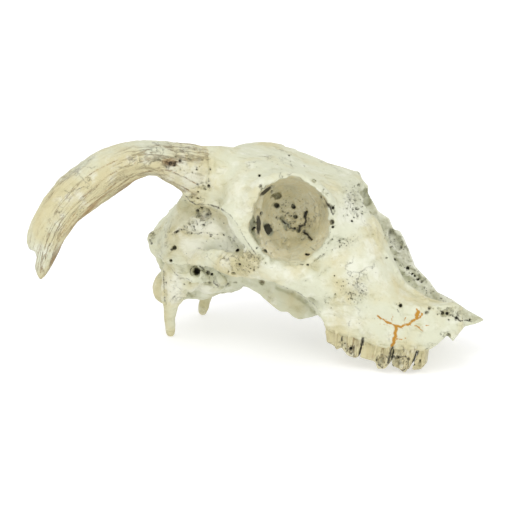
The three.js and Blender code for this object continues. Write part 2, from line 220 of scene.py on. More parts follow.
# Rounded parts: middle on the left, and half sizes.
CONDYLE = ((-52.5, 13, 24.5), (9.2, 10, 9.6))
MASTOID = ((-36, 27.5, 43), (12.5, 9.5, 11))
EAR_TUBE = ((-27, 31, 41.5), (5.5, 8, 5.5))
EAR_HOLE = ((-27, 40, 41.5), (2.8, 7, 3))
BULLA = ((-27, 18, 33), (8.5, 6.5, 7))
NUCHAL_CREST = ((-56, 0, 51), (9.5, 22, 4.5))
FORAMEN_MAGNUM = ((-61, 0, 34), (15, 9.5, 8.5))

# Eye socket: middle of its mouth on the left, half sizes of its bowl, and how it faces.
SOCKET = {"middle": (26.5, 43.5, 74.2), "half": (18.8, 27.0, 20.6), "forward": 22, "up": 6}
SOCKET_RIM = 1.6
SOCKET_WALL = 2.6

PALATE_WING = [
    (-11, 30),
    (-2, 26.2),
    (6, 20.5),
    (10, 18.2),
    (15, 18),
    (19.5, 15.2),
    (24, 16.6),
    (34, 20),
    (46, 19),
    (46, 48),
    (-4, 48),
    (-11, 38),
]
PALATE_WING_FACES = (11.2, 14.2)

# Cheek teeth: the gaps between them as X at the floor and slant, and for each tooth its middle
# across the skull, its half width and its number of lobes. Then rows of the worn edge: x, z.
GAPS = [(42.2, 0.0), (58.3, 0.2), (74.2, 0.18), (83.9, 0.29), (91.8, 0.02)]
TEETH = [(31, 6.2, 3), (29.7, 6.3, 2), (27.6, 5.9, 2), (25.2, 5.2, 1)]
GAP_HALF = 0.4
WORN = [
    (41.8, 13.4),
    (47.8, 9.0),
    (50.2, 10.8),
    (54, 7.6),
    (57.2, 5.6),
    (59.9, 6.4),
    (64, 5.0),
    (67.5, 1.6),
    (72.6, 1.9),
    (74.8, 4.4),
    (77.5, 2.0),
    (81.9, 0.2),
    (84.0, 3.4),
    (85.6, 0.8),
    (88.5, -0.2),
    (90.4, 2.2),
    (91.8, 5.4),
]
# Rows of the tooth-bearing edge of the upper jaw: x, gum level, middle and half width.
GUM = [
    (36, 27, 31.5, 4.5),
    (42, 21, 31, 6.8),
    (50, 17.3, 30.8, 7.0),
    (58, 16.7, 30.2, 7.1),
    (70, 13.9, 28.6, 7.0),
    (76, 13.3, 27.2, 6.7),
    (88, 13.1, 24.6, 6.1),
    (93, 13.5, 22.8, 5.4),
    (96.5, 15.4, 21.4, 4.6),
    (99, 17.4, 20.2, 4.0),
    (102.5, 15.2, 18.8, 3.2),
    (107, 19, 17.5, 2.6),
]
GUM_TOP = 34.0
TOOTH_TOP = GUM_TOP - 8

BURR = ((-27, -33.5, 93.6), (-0.68, -0.66, 0.32))
BROW_BREAK = ((0, 8, 102.5), (0.12, 0.78, 0.62))
SINUS_CELLS = [
    ((-32, 24, 86), (5.5, 4.5, 3.4)),
    ((-18, 22, 91), (5, 5, 4)),
    ((-6, 24, 88.5), (7.5, 5.5, 5)),
    ((7, 17, 92.5), (3.8, 4, 3.4)),
    ((16, 22, 88), (7, 5, 4.4)),
    ((27, 25, 83.5), (3.4, 3.6, 2.6)),
    ((34, 17, 86), (6, 4.5, 3.6)),
]
TIP_BREAK = ((-96, -92, 50), (9.5, 20, 13))
RIGHT_MUZZLE_END = 105.5
LEFT_NOSE_BREAK = [
    (50, 85),
    (52, 79),
    (56, 72),
    (62, 66),
    (66, 59),
    (70, 51),
    (74, 43),
    (82, 35),
    (90, 60),
    (60, 100),
]

# Side-view outlines inside which one bone is told from the next.
OCCIPUT_AREA = [(-200, -200), (-17, -200), (-17, 29.5), (-30, 34), (-43, 41), (-50, 51),
    (-58, 64), (-200, 64)]
FOREHEAD_AREA = [(-200, 75), (30, 75), (47.5, 71), (47.5, 200), (-200, 200)]
JAW_AREA = [(25, -200), (200, -200), (200, 200), (25, 200)]
CHEEK_AREA = [(-18, 30), (42, 30), (42, 62), (37, 74.7), (-18, 74.7)]
WING_AREA = [(-11.3, -200), (40, -200), (40, 31), (-11.3, 31)]
CHEEK_INNER = 36.6
WING_INNER = 9

BONES = [
    "occiput",
    "palate_wing_right",
    "palate_wing_left",
    "cheekbone_right",
    "cheekbone_left",
    "forehead",
    "upper_jaw_right",
    "upper_jaw_left",
    "braincase",
    "horn_core_right",
    "teeth_right",
    "teeth_left",
]

# Camera, in the skull's own frame.
AIM = np.array([-9.0, 0.0, 43.0])
AZIMUTH, ELEVATION, DISTANCE = 22.0, 14.5, 700.0
FRAME_PIXELS = 512
PIXELS_PER_MM = 1.9
SENSOR_MM = 36.0

# Lines of sight: start, end and step of each way of looking, how far apart they follow a line of
# places, and the step on the bone at which such a line is parted.
SIGHT = (-130, 150, 0.4)
SIGHT_BEHIND = (0, 90, 0.3)
SIGHT_BELOW = (0, 70, 0.3)
SPACING = 1.6
STROKE_SPACING = 1.0
STEP_AWAY = 3.6

# Outline of the whole skull as the camera sees it, in pixels from the top left.
SKYLINE = [
    (40, 279.5), (36.5, 272), (35, 267), (37, 257), (35.5, 252), (29, 248), (25.5, 241), (27, 228),
    (30, 217), (36, 205), (44, 194), (53, 181), (64, 169), (77, 160.5), (90, 154), (102, 149),
    (114, 145), (125, 142), (136.5, 139.6), (145, 139.3), (154, 140), (166, 140.3), (178, 141),
    (189, 143.3), (201, 146), (215, 146), (230, 145), (240, 143), (250, 142), (260, 141.7),
    (271, 142), (283, 144), (292, 146.5), (301, 150), (317, 158), (328, 163), (342, 167),
    (354.5, 171), (359, 170), (362, 179), (368, 186), (368, 193), (373, 202), (378, 211),
    (389, 218.5), (393.5, 229), (400, 231), (404, 238), (409.5, 251), (415, 266), (430, 282),
    (437, 292), (452, 299.5), (467, 310), (478, 316), (485, 320), (475, 324), (465, 326.5),
    (460, 332), (453, 341), (447, 335), (443, 339), (437, 345), (429, 351), (427.5, 363),
    (421, 369), (412, 370.5), (404, 373), (398, 368), (389, 366), (386, 369.5), (377.6, 369.5),
    (375.5, 362), (370, 360), (360, 358), (349, 358), (341, 349), (337, 350.5), (334, 346),
    (326, 342), (324, 330), (323.5, 317), (312, 318), (300, 320), (293, 318), (288, 312),
    (278, 312), (271, 306), (260, 297), (252, 291), (243, 285), (232, 290), (213, 294), (211, 318),
    (196, 318), (199, 297), (191, 301), (179.5, 305), (178, 313), (176.5, 340), (167, 340),
    (164.5, 324), (163, 309), (163, 304.5), (154.5, 301), (151, 294), (151, 286), (155.5, 275),
    (160, 272), (164, 268), (165, 261), (160, 255.5), (154.5, 249), (152, 245), (148, 235),
    (149, 231), (153.5, 226), (161, 222), (168, 216), (176, 204.5), (183, 194), (182, 191),
    (170, 184), (157, 176), (149, 175), (136, 180), (120, 192), (98, 206), (78, 221), (64, 241),
    (55, 259), (47, 273), (42, 279),
]

# Seams and cracks that are both carved and stained, in pixels.
EAR_SEAM = [(165.7, 262), (175.6, 274), (181.7, 278), (187.8, 278.6), (193, 282)]
JUGULAR_CRACK = [(170, 277), (170, 281.6), (175.6, 285), (183, 291.6)]
TIP_CRACK = [(181.7, 292), (175.6, 295), (171, 300), (168.7, 306)]
JUGULAR_EDGE = [(164, 270), (163.5, 280), (164.5, 292), (165, 304)]
HORN_CRACK = [(150, 163), (160, 159), (176, 157), (192, 158), (206, 160)]
HORN_SEAM = [(208, 159), (211, 168), (208.5, 178), (210, 190)]
GUM_LINE = [(327, 328), (340, 335), (347, 337), (363, 338), (372, 343), (390, 347), (427, 347)]
SOCKET_CRACK = [(281, 219), (284.5, 223), (288, 224), (289, 228), (295, 228.5)]
SOCKET_CRACK_LOW = [(304, 232.5), (307.6, 234), (309, 237), (312, 240)]

# Ridges on the bone under lines of pixels: radius and blend in millimetres, on both sides or one,
# places.
RIDGES = [
    (1.4, 2.4, True, [(186, 193), (192, 201), (205, 203), (216, 205), (226, 210), (234, 217),
        (241, 227), (248, 239), (256, 251)]),
    (1.2, 2.2, True, [(151, 238), (156, 250), (165, 259), (178, 263), (192, 262), (203, 257),
        (213, 252), (224, 253)]),
    (0.9, 1.6, True, [(222, 253), (234, 256), (246, 260), (258, 264)]),
    (0.8, 1.4, True, [(189, 272), (190, 266), (196, 262.5), (203, 265), (205, 272), (202, 279),
        (195, 280), (190, 276), (189, 272)]),
    (2.3, 0.8, True, [(216, 273), (219, 277), (222.5, 281)]),
    (1.2, 0.8, True, [(194, 279), (200, 281), (208, 279)]),
    (1.4, 1.6, True, [(165, 262), (176, 270), (186, 276), (194, 280)]),
    (0.9, 2.0, True, [(279, 283), (295, 288), (305, 295), (313, 301), (320, 310), (325, 320)]),
    (0.8, 1.6, True, [(262, 262), (270, 266), (284, 268), (298, 267), (312, 262), (324, 252)]),
    (0.9, 1.8, False, [(360, 186), (364, 198), (370, 208), (374, 222), (376, 238), (388, 257),
        (404, 284), (427, 301)]),
    (1.1, 1.6, False, [(149, 230), (152, 236), (155, 242)]),
    (0.8, 1.6, True, [(262, 200), (258, 214), (258, 230), (263, 246)]),
]

# Swellings and hollows: place, radius, how far they stand out (or sink in, below 0), on both sides
# or one.
LUMPS = [
    (196, 248, 9, -1.2, True),
    (305, 252, 8, 2.2, True),
    (270, 249, 6, 1.5, True),
    (316, 234, 6, 1.0, True),
    (282, 205, 9, -1.2, True),
    (153, 235, 3, 1.2, False),
    (203, 290, 5, 1.4, True),
    (220, 278, 4, 1.0, True),
    (345, 265, 13, -0.9, True),
    (285, 274, 9, 0.8, True),
    (250, 232, 5, -0.8, True),
    (258, 232, 2.4, 1.0, False),
    (330, 199, 1.6, 0.9, False),
    (334, 213, 1.4, 0.8, False),
    (328, 221, 1.4, 0.8, False),
    (246, 254, 2, 1.0, True),
    (252, 258, 2.2, 1.0, True),
    (241, 259, 1.8, 0.9, True),
    (191, 262, 1.6, 0.8, True),
    (215, 215, 7, -0.8, True),
    (170, 230, 6, 0.8, True),
]

# Grooves, sutures and cracks: radius, blend, on both sides or one, places.
GROOVES = [
    (2.4, 2.6, True, [(181, 203), (191, 211), (204, 213), (213, 215), (221, 220), (228, 227),
        (235, 237), (243, 249)]),
    (0.5, 0.3, True, [(171.8, 235), (175.6, 232), (180, 229), (185, 230), (191, 233),
        (198.6, 234), (203, 232), (213, 235), (222, 234), (232, 238)]),
    (0.5, 0.3, True, EAR_SEAM),
    (0.45, 0.3, True, JUGULAR_CRACK),
    (0.4, 0.3, True, TIP_CRACK),
    (1.1, 0.5, True, [(191, 268), (195, 266), (201, 268)]),
    (0.5, 0.3, True, [(224, 258), (230, 263), (236, 262), (243, 267), (250, 268), (258, 275)]),
    (0.45, 0.3, True, [(226, 268), (234, 268), (240, 273), (248, 276)]),
    (0.6, 0.8, True, [(307.6, 191), (315, 201), (319, 211.5), (318, 227)]),
    (0.8, 0.8, True, [(272, 262), (274, 254), (281, 246), (286, 238)]),
    (0.6, 0.6, True, [(288.5, 245), (289.5, 254), (288.5, 262)]),
    (0.8, 0.4, False, [(392.6, 232.7), (400, 241), (407.6, 252)]),
    (0.4, 0.2, False, [(315, 183), (330, 189), (343, 195)]),
    (0.4, 0.2, False, [(330, 192), (344, 195.6)]),
    (0.45, 0.2, True, [(356, 237), (366, 237), (373.7, 234)]),
    (0.5, 0.3, True, [(333, 236), (345, 240), (356, 237)]),
    (0.45, 0.2, True, [(369, 265), (377, 259), (387.5, 258)]),
    (0.8, 0.6, False, HORN_CRACK),
    (1.3, 0.8, True, JUGULAR_EDGE),
    (1.0, 1.2, True, [(277, 287), (293, 293), (302, 299), (310, 306), (316, 314), (320, 325)]),
    (1.8, 1.6, True, [(160, 262), (170, 268), (182, 269), (196, 268)]),
    (0.6, 0.8, True, [(212, 268), (222, 269), (234, 274), (246, 281), (256, 285)]),
    (0.9, 0.6, True, [(214, 286), (220, 287), (227, 286), (230, 282)]),
    (0.9, 0.6, True, [(190, 283), (196, 281), (204, 282), (212, 284)]),
    (1.2, 0.8, True, [(176, 306), (184, 299), (192, 296)]),
    (0.8, 0.5, False, HORN_SEAM),
    (0.6, 0.8, True, [(401, 308), (401, 313), (402.4, 322)]),
    (0.45, 0.2, True, GUM_LINE),
    (0.5, 0.3, True, [(283, 262), (296, 266), (310, 264), (324, 254)]),
    (0.6, 0.4, True, [(302, 283), (318, 277), (330, 268)]),
]

# Openings that run into the bone: radius, depth, on both sides or one, places.
HOLES = [
    (2.6, 5, True, [(267, 226), (268.5, 232)]),
    (2.0, 7, True, [(197, 271.7)]),
    (1.2, 4, True, [(207, 270), (208, 273)]),
    (0.9, 4, True, [(211.6, 274)]),
    (1.1, 4, True, [(169.5, 251.5), (171, 250), (174.5, 248)]),
    (0.8, 3, True, [(171, 260.6)]),
    (0.9, 3, True, [(237.6, 250)]),
    (1.3, 1.6, True, [(262, 282)]),
    (0.7, 3, True, [(334, 276)]),
    (1.1, 5, True, [(396.7, 303.5), (399, 303.3), (401, 305.6)]),
    (0.75, 3, True, [(259.5, 175.7)]),
    (0.7, 3, False, [(288.7, 156)]),
    (0.9, 3, False, [(312, 179), (314, 181)]),
    (1.0, 3, True, [(320.5, 194), (320.5, 197)]),
    (0.9, 3, False, [(325, 203), (329, 205)]),
    (0.9, 3, False, [(333, 207.5)]),
    (1.2, 4, True, [(331.5, 219.5), (332.5, 222)]),
    (0.8, 3, False, [(333, 227)]),
    (1.7, 3, False, [(274, 195.5), (278, 195.5)]),
    (1.3, 3, False, [(273.5, 205), (277, 205)]),
    (1.0, 2.5, False, [(292, 204), (294, 207)]),
    (0.9, 2.5, False, [(290.5, 216), (296, 217)]),
    (1.1, 3, False, [(298.7, 230.5)]),
    (1.3, 1.0, True, [(260, 197), (263, 192.5), (266, 191), (272, 187)]),
    (1.3, 1.0, True, [(260, 213), (257.5, 218), (259, 223), (257.5, 229), (261, 236)]),
    (0.85, 2, False, [(306.5, 211), (305.2, 216), (306, 221), (304, 225.5), (300, 226.5)]),
    (0.8, 2, False, [(300, 229), (298.7, 232)]),
    (0.7, 2, False, SOCKET_CRACK_LOW),
    (0.75, 2, False, SOCKET_CRACK),
    (0.7, 2, False, [(290, 215), (293, 217), (296, 216)]),
    (1.2, 4, True, [(265, 251.6)]),
    (1.3, 4, True, [(257, 239), (258, 243)]),
    (0.7, 2, False, [(306, 254.5), (309.5, 254.5)]),
    (2.6, 4, False, [(364, 193), (366, 199), (369, 204)]),
    (1.6, 3, False, [(371, 209), (374, 214)]),
    (0.9, 2, False, [(358.7, 185)]),
    (1.7, 2.5, False, [(391, 232), (395, 240), (400, 247)]),
    (0.9, 2, False, [(408, 268)]),
    (0.8, 2, False, [(413, 274), (415, 276)]),
    (0.7, 2, False, [(418, 280)]),
    (0.9, 3, False, [(441, 312), (443, 313)]),
    (0.8, 3, False, [(448, 313.5)]),
    (0.8, 3, False, [(455, 316.5), (457, 318)]),
    (0.8, 3, False, [(463, 322.4)]),
    (0.7, 3, False, [(470, 320)]),
    (1.2, 3, False, [(446, 334), (449, 335)]),
    (1.3, 3, True, [(186, 292), (189.5, 294)]),
]
TOOTH_HOLES = [
    (0.9, 2.5, False, [(351, 348.5)]),
    (0.7, 2, False, [(404, 350)]),
    (0.6, 1.5, False, [(345, 343), (346, 350)]),
    (0.5, 1.5, False, [(398, 352), (399, 358)]),
]

# Groups of pores: middle, spread, number, smallest and largest radius, on both sides or one.
PORES = [
    (203, 216, 9, 7, 34, 0.45, 0.95, True),
    (191, 224, 9, 6, 16, 0.5, 0.8, True),
    (185, 232, 14, 3, 16, 0.45, 0.7, True),
    (214, 240, 12, 8, 12, 0.4, 0.6, True),
    (288, 224, 8, 6, 18, 0.5, 0.8, False),
    (304, 222, 3, 8, 12, 0.5, 0.8, False),
    (258, 215, 3, 9, 14, 0.6, 1.0, True),
    (266, 189, 7, 4, 12, 0.5, 0.9, False),
    (170, 284, 8, 8, 10, 0.4, 0.6, False),
    (190, 174, 16, 11, 60, 0.25, 0.42, False),
    (203, 186, 5, 5, 26, 0.4, 0.8, False),
    (192, 199, 7, 4, 26, 0.35, 0.6, True),
    (322, 196, 6, 9, 16, 0.3, 0.6, True),
    (262, 258, 8, 5, 14, 0.3, 0.6, True),
    (214, 256, 12, 4, 18, 0.3, 0.5, True),
    (170, 163, 8, 3, 18, 0.5, 0.9, False),
    (153, 235, 4, 5, 14, 0.5, 0.9, True),
    (250, 256, 10, 7, 26, 0.45, 0.9, True),
    (241, 267, 14, 6, 34, 0.35, 0.7, True),
    (329, 212, 6, 14, 22, 0.4, 0.9, True),
    (355, 197, 9, 22, 70, 0.28, 0.55, False),
    (357, 213, 7, 6, 26, 0.4, 0.7, False),
    (337, 243, 16, 6, 44, 0.28, 0.55, True),
    (361, 291, 7, 12, 60, 0.28, 0.42, True),
    (349, 298, 9, 6, 34, 0.28, 0.42, True),
    (396, 243, 8, 14, 30, 0.35, 0.8, False),
    (418, 276, 10, 10, 24, 0.35, 0.7, False),
    (452, 312, 16, 6, 50, 0.4, 0.9, False),
    (285, 215, 16, 14, 30, 0.35, 0.7, True),
    (256, 230, 4, 16, 22, 0.4, 0.9, True),
    (205, 272, 9, 6, 20, 0.4, 0.8, True),
    (180, 292, 8, 8, 16, 0.35, 0.6, True),
    (290, 165, 30, 8, 16, 0.35, 0.6, True),
    (330, 300, 6, 8, 16, 0.35, 0.5, True),
]
TOOTH_PORES = [
    (398, 363, 7, 5, 26, 0.4, 0.8, False),
    (382, 361, 5, 4, 16, 0.4, 0.8, False),
    (350, 350, 6, 4, 8, 0.35, 0.6, False),
    (419, 364, 5, 3, 10, 0.35, 0.6, False),
]

NEAR_SIDE = {
    "lumps": LUMPS,
    "ridges": RIDGES,
    "grooves": GROOVES,
    "holes": HOLES,
    "pores": PORES,
}
TOOTH_MARKS = {"holes": TOOTH_HOLES, "pores": TOOTH_PORES}

# The same kinds of detail where the camera does not see, in millimetres: behind, at places across
# and up, and below, at places along and across.
BACK = {
    "lumps": [(10, 55, 7, -1.2, True), (17, 44, 6, 1.2, True), (13, 33, 3.5, 0.8, True)],
    "ridges": [
        (1.6, 3.5, False, [(0, 66), (0, 58), (0, 47)]),
        (1.3, 2.8, True, [(19, 55), (24, 49), (27, 41)]),
        (0.9, 2.0, True, [(6, 46), (11, 43), (16, 36)]),
    ],
    "grooves": [
        (0.5, 0.3, True, [(27, 58), (20, 63), (15, 61), (9, 66), (4, 64), (0, 67)]),
        (0.5, 0.4, True, [(22, 44), (19, 37), (20, 30)]),
        (1.0, 1.2, True, [(13, 36), (8, 30), (6, 25)]),
    ],
    "holes": [(0.9, 3, True, [(15, 41)]), (0.7, 2.5, True, [(7, 50)]), (1.2, 4, True, [(24, 38),
        (24, 35)])],
    "pores": [
        (0, 54, 26, 6, 40, 0.3, 0.6, False),
        (-16, 60, 14, 5, 24, 0.3, 0.55, False),
        (14, 62, 16, 5, 24, 0.3, 0.55, False),
    ],
}
UNDERSIDE = {
    "lumps": [(-38, 5, 4, 1.2, True), (-20, 4, 4, 0.9, True)],
    "ridges": [(1.0, 2.0, False, [(-45, 0), (-30, 0), (-18, 0)]), (0.9, 1.6, True, [(40, 11),
        (52, 13), (66, 14)])],
    "grooves": [
        (0.5, 0.3, False, [(38, 0.3), (58, -0.4), (78, 0.5), (102, 0)]),
        (0.5, 0.3, True, [(54, 0), (53, 6), (49, 12)]),
        (0.8, 1.2, True, [(51, 8.5), (60, 9.5), (74, 9.5), (88, 8)]),
        (0.5, 0.3, True, [(-21, 0), (-20, 8)]),
    ],
    "holes": [(1.3, 4, True, [(50, 8.5)]), (0.7, 3, True, [(46, 9)]),
        (1.4, 4, True, [(-43, 12)]), (1.2, 4, True, [(-16, 12)])],
    "pores": [(70, 0, 30, 10, 60, 0.3, 0.55, False), (-30, 0, 20, 12, 40, 0.3, 0.55, False)],
}

# Stains, painted shade and painted light: strength, middle and half size in pixels, turn in
# degrees.
DAUBS = {
    "moss": [
        (0.9, 372, 205, 6, 16, -25), (0.55, 388, 226, 7, 20, -35), (0.6, 402, 248, 7, 20, -30),
        (0.5, 416, 272, 7, 18, -35), (0.8, 436, 296, 7, 16, -50), (0.8, 458, 312, 16, 8, 30),
        (0.8, 476, 319, 10, 5, 20), (0.55, 356, 196, 8, 26, 0), (0.4, 340, 178, 18, 4, 22),
        (0.6, 202, 271, 12, 9, 0), (0.7, 152, 236, 6, 9, 0), (0.45, 188, 284, 10, 5, 30),
        (0.5, 271, 298, 5, 4, 0), (0.75, 254, 232, 5, 16, 0), (0.4, 328, 212, 7, 16, 0),
        (0.5, 204, 188, 8, 6, 0), (0.4, 240, 268, 20, 7, 15), (0.45, 336, 243, 18, 5, 0),
        (0.45, 182, 300, 6, 10, 20), (0.5, 222, 286, 12, 5, 0), (0.4, 265, 252, 8, 6, 0),
        (0.4, 448, 334, 10, 6, 0), (0.5, 265, 290, 14, 8, 30), (0.4, 300, 306, 14, 8, 20),
        (0.35, 355, 292, 12, 10, 0), (0.4, 292, 284, 20, 5, 15), (0.35, 330, 262, 14, 6, -20),
    ],
    "rust": [
        (0.95, 170, 162, 12, 5, 0), (0.4, 165, 178, 14, 5, 30), (0.45, 203, 216, 10, 8, 0),
        (0.85, 128, 185, 30, 4, -32), (0.9, 84, 215, 34, 4, -46), (0.85, 56, 256, 20, 4, -65),
        (0.7, 165, 183, 14, 3, 30), (0.8, 262, 282, 4, 3, 0), (0.6, 372, 356, 8, 4, 0),
        (0.5, 350, 352, 8, 4, 0), (0.35, 250, 258, 12, 8, 0), (0.4, 398, 366, 8, 4, 0),
        (0.3, 333, 330, 8, 6, 0), (0.3, 419, 362, 6, 5, 0),
    ],
    # soot_and_shade: dirt rings on the teeth, and painted shade laid black into openings and the
    # dark gaps of the eye socket
    "soot_and_shade": [
        (0.45, 382, 361, 6, 6, 0), (0.5, 399, 363, 9, 6, 0), (0.35, 419, 365, 6, 4, 0),
        (0.5, 351, 349, 2, 2, 0), (0.5, 264, 191, 8, 4, -38), (0.55, 257, 226, 3, 11, 0),
        (1.5, 268, 229, 4.4, 5.6, 0), (1.4, 258.5, 225, 2.2, 10, 0),
        (1.4, 265, 191.5, 7, 2.0, -38), (0.9, 299, 231, 2.2, 2.4, 0), (0.7, 276, 195.5, 4, 3, 0),
        (0.7, 275, 205, 3.6, 2.4, 0), (0.6, 293, 205, 2.4, 2.6, 0), (0.9, 197, 271.7, 3.4, 3.4, 0),
        (0.7, 208, 271.5, 2.4, 2.4, 0), (0.8, 172, 249.5, 3.4, 1.8, -20), (0.8, 332, 221, 2, 3, 0),
        (0.7, 326, 205, 3, 5, 30), (0.6, 188, 293, 3, 1.6, 20), (0.6, 262, 282, 2, 1.5, 0),
        (0.7, 358.7, 185, 2, 2, 0), (0.45, 204, 187, 6, 4, 0), (0.4, 452, 314, 14, 3, 20),
        (0.5, 366, 198, 3, 8, -20),
    ],
    "rough": [
        (1.0, 356, 200, 12, 26, 0), (0.9, 356, 290, 15, 15, 0), (0.8, 337, 243, 20, 8, 0),
        (0.8, 250, 257, 14, 10, 0), (0.8, 241, 267, 18, 9, 15), (1.0, 402, 250, 12, 30, -30),
        (1.0, 440, 300, 30, 12, 35), (0.7, 203, 216, 14, 10, 0), (0.8, 153, 236, 7, 9, 0),
        (0.6, 290, 212, 26, 24, 0),
    ],
    # bleach_and_light: chalky patches, and painted light that lifts recesses the lights leave dark
    "bleach_and_light": [
        (1.0, 197, 246, 14, 9, 0), (0.5, 189, 176, 20, 12, 15), (0.4, 278, 272, 24, 7, 10),
        (0.3, 365, 262, 22, 22, 0), (0.6, 278, 250, 14, 10, 0), (0.3, 350, 320, 24, 8, 10),
        (0.3, 240, 190, 12, 30, 0), (0.5, 352, 215, 12, 14, 0), (1.0, 232, 236, 12, 20, 35),
        (0.8, 206, 226, 26, 10, 0), (1.0, 402, 250, 8, 30, -30), (0.9, 440, 298, 26, 8, 35),
        (0.8, 378, 212, 8, 18, -30), (0.8, 200, 290, 12, 6, 0), (0.7, 175, 290, 8, 14, 0),
        (0.6, 270, 248, 9, 10, 0),
    ],
    "straw": [
        (0.9, 189, 176, 20, 12, 15), (0.9, 84, 212, 40, 8, -46), (0.8, 130, 176, 34, 7, -22),
        (0.7, 250, 257, 12, 9, 0), (0.5, 330, 330, 10, 6, 0), (0.5, 224, 262, 22, 8, 15),
        (0.5, 405, 258, 7, 7, 0), (0.4, 395, 290, 30, 20, 0), (0.5, 330, 260, 24, 8, -20),
        (0.4, 168, 288, 12, 12, 0), (0.6, 118, 170, 50, 12, -20), (0.5, 415, 360, 4, 6, 0),
        (0.5, 220, 232, 12, 8, 0), (0.4, 290, 296, 18, 8, 30), (0.5, 154, 288, 6, 12, 0),
    ],
}
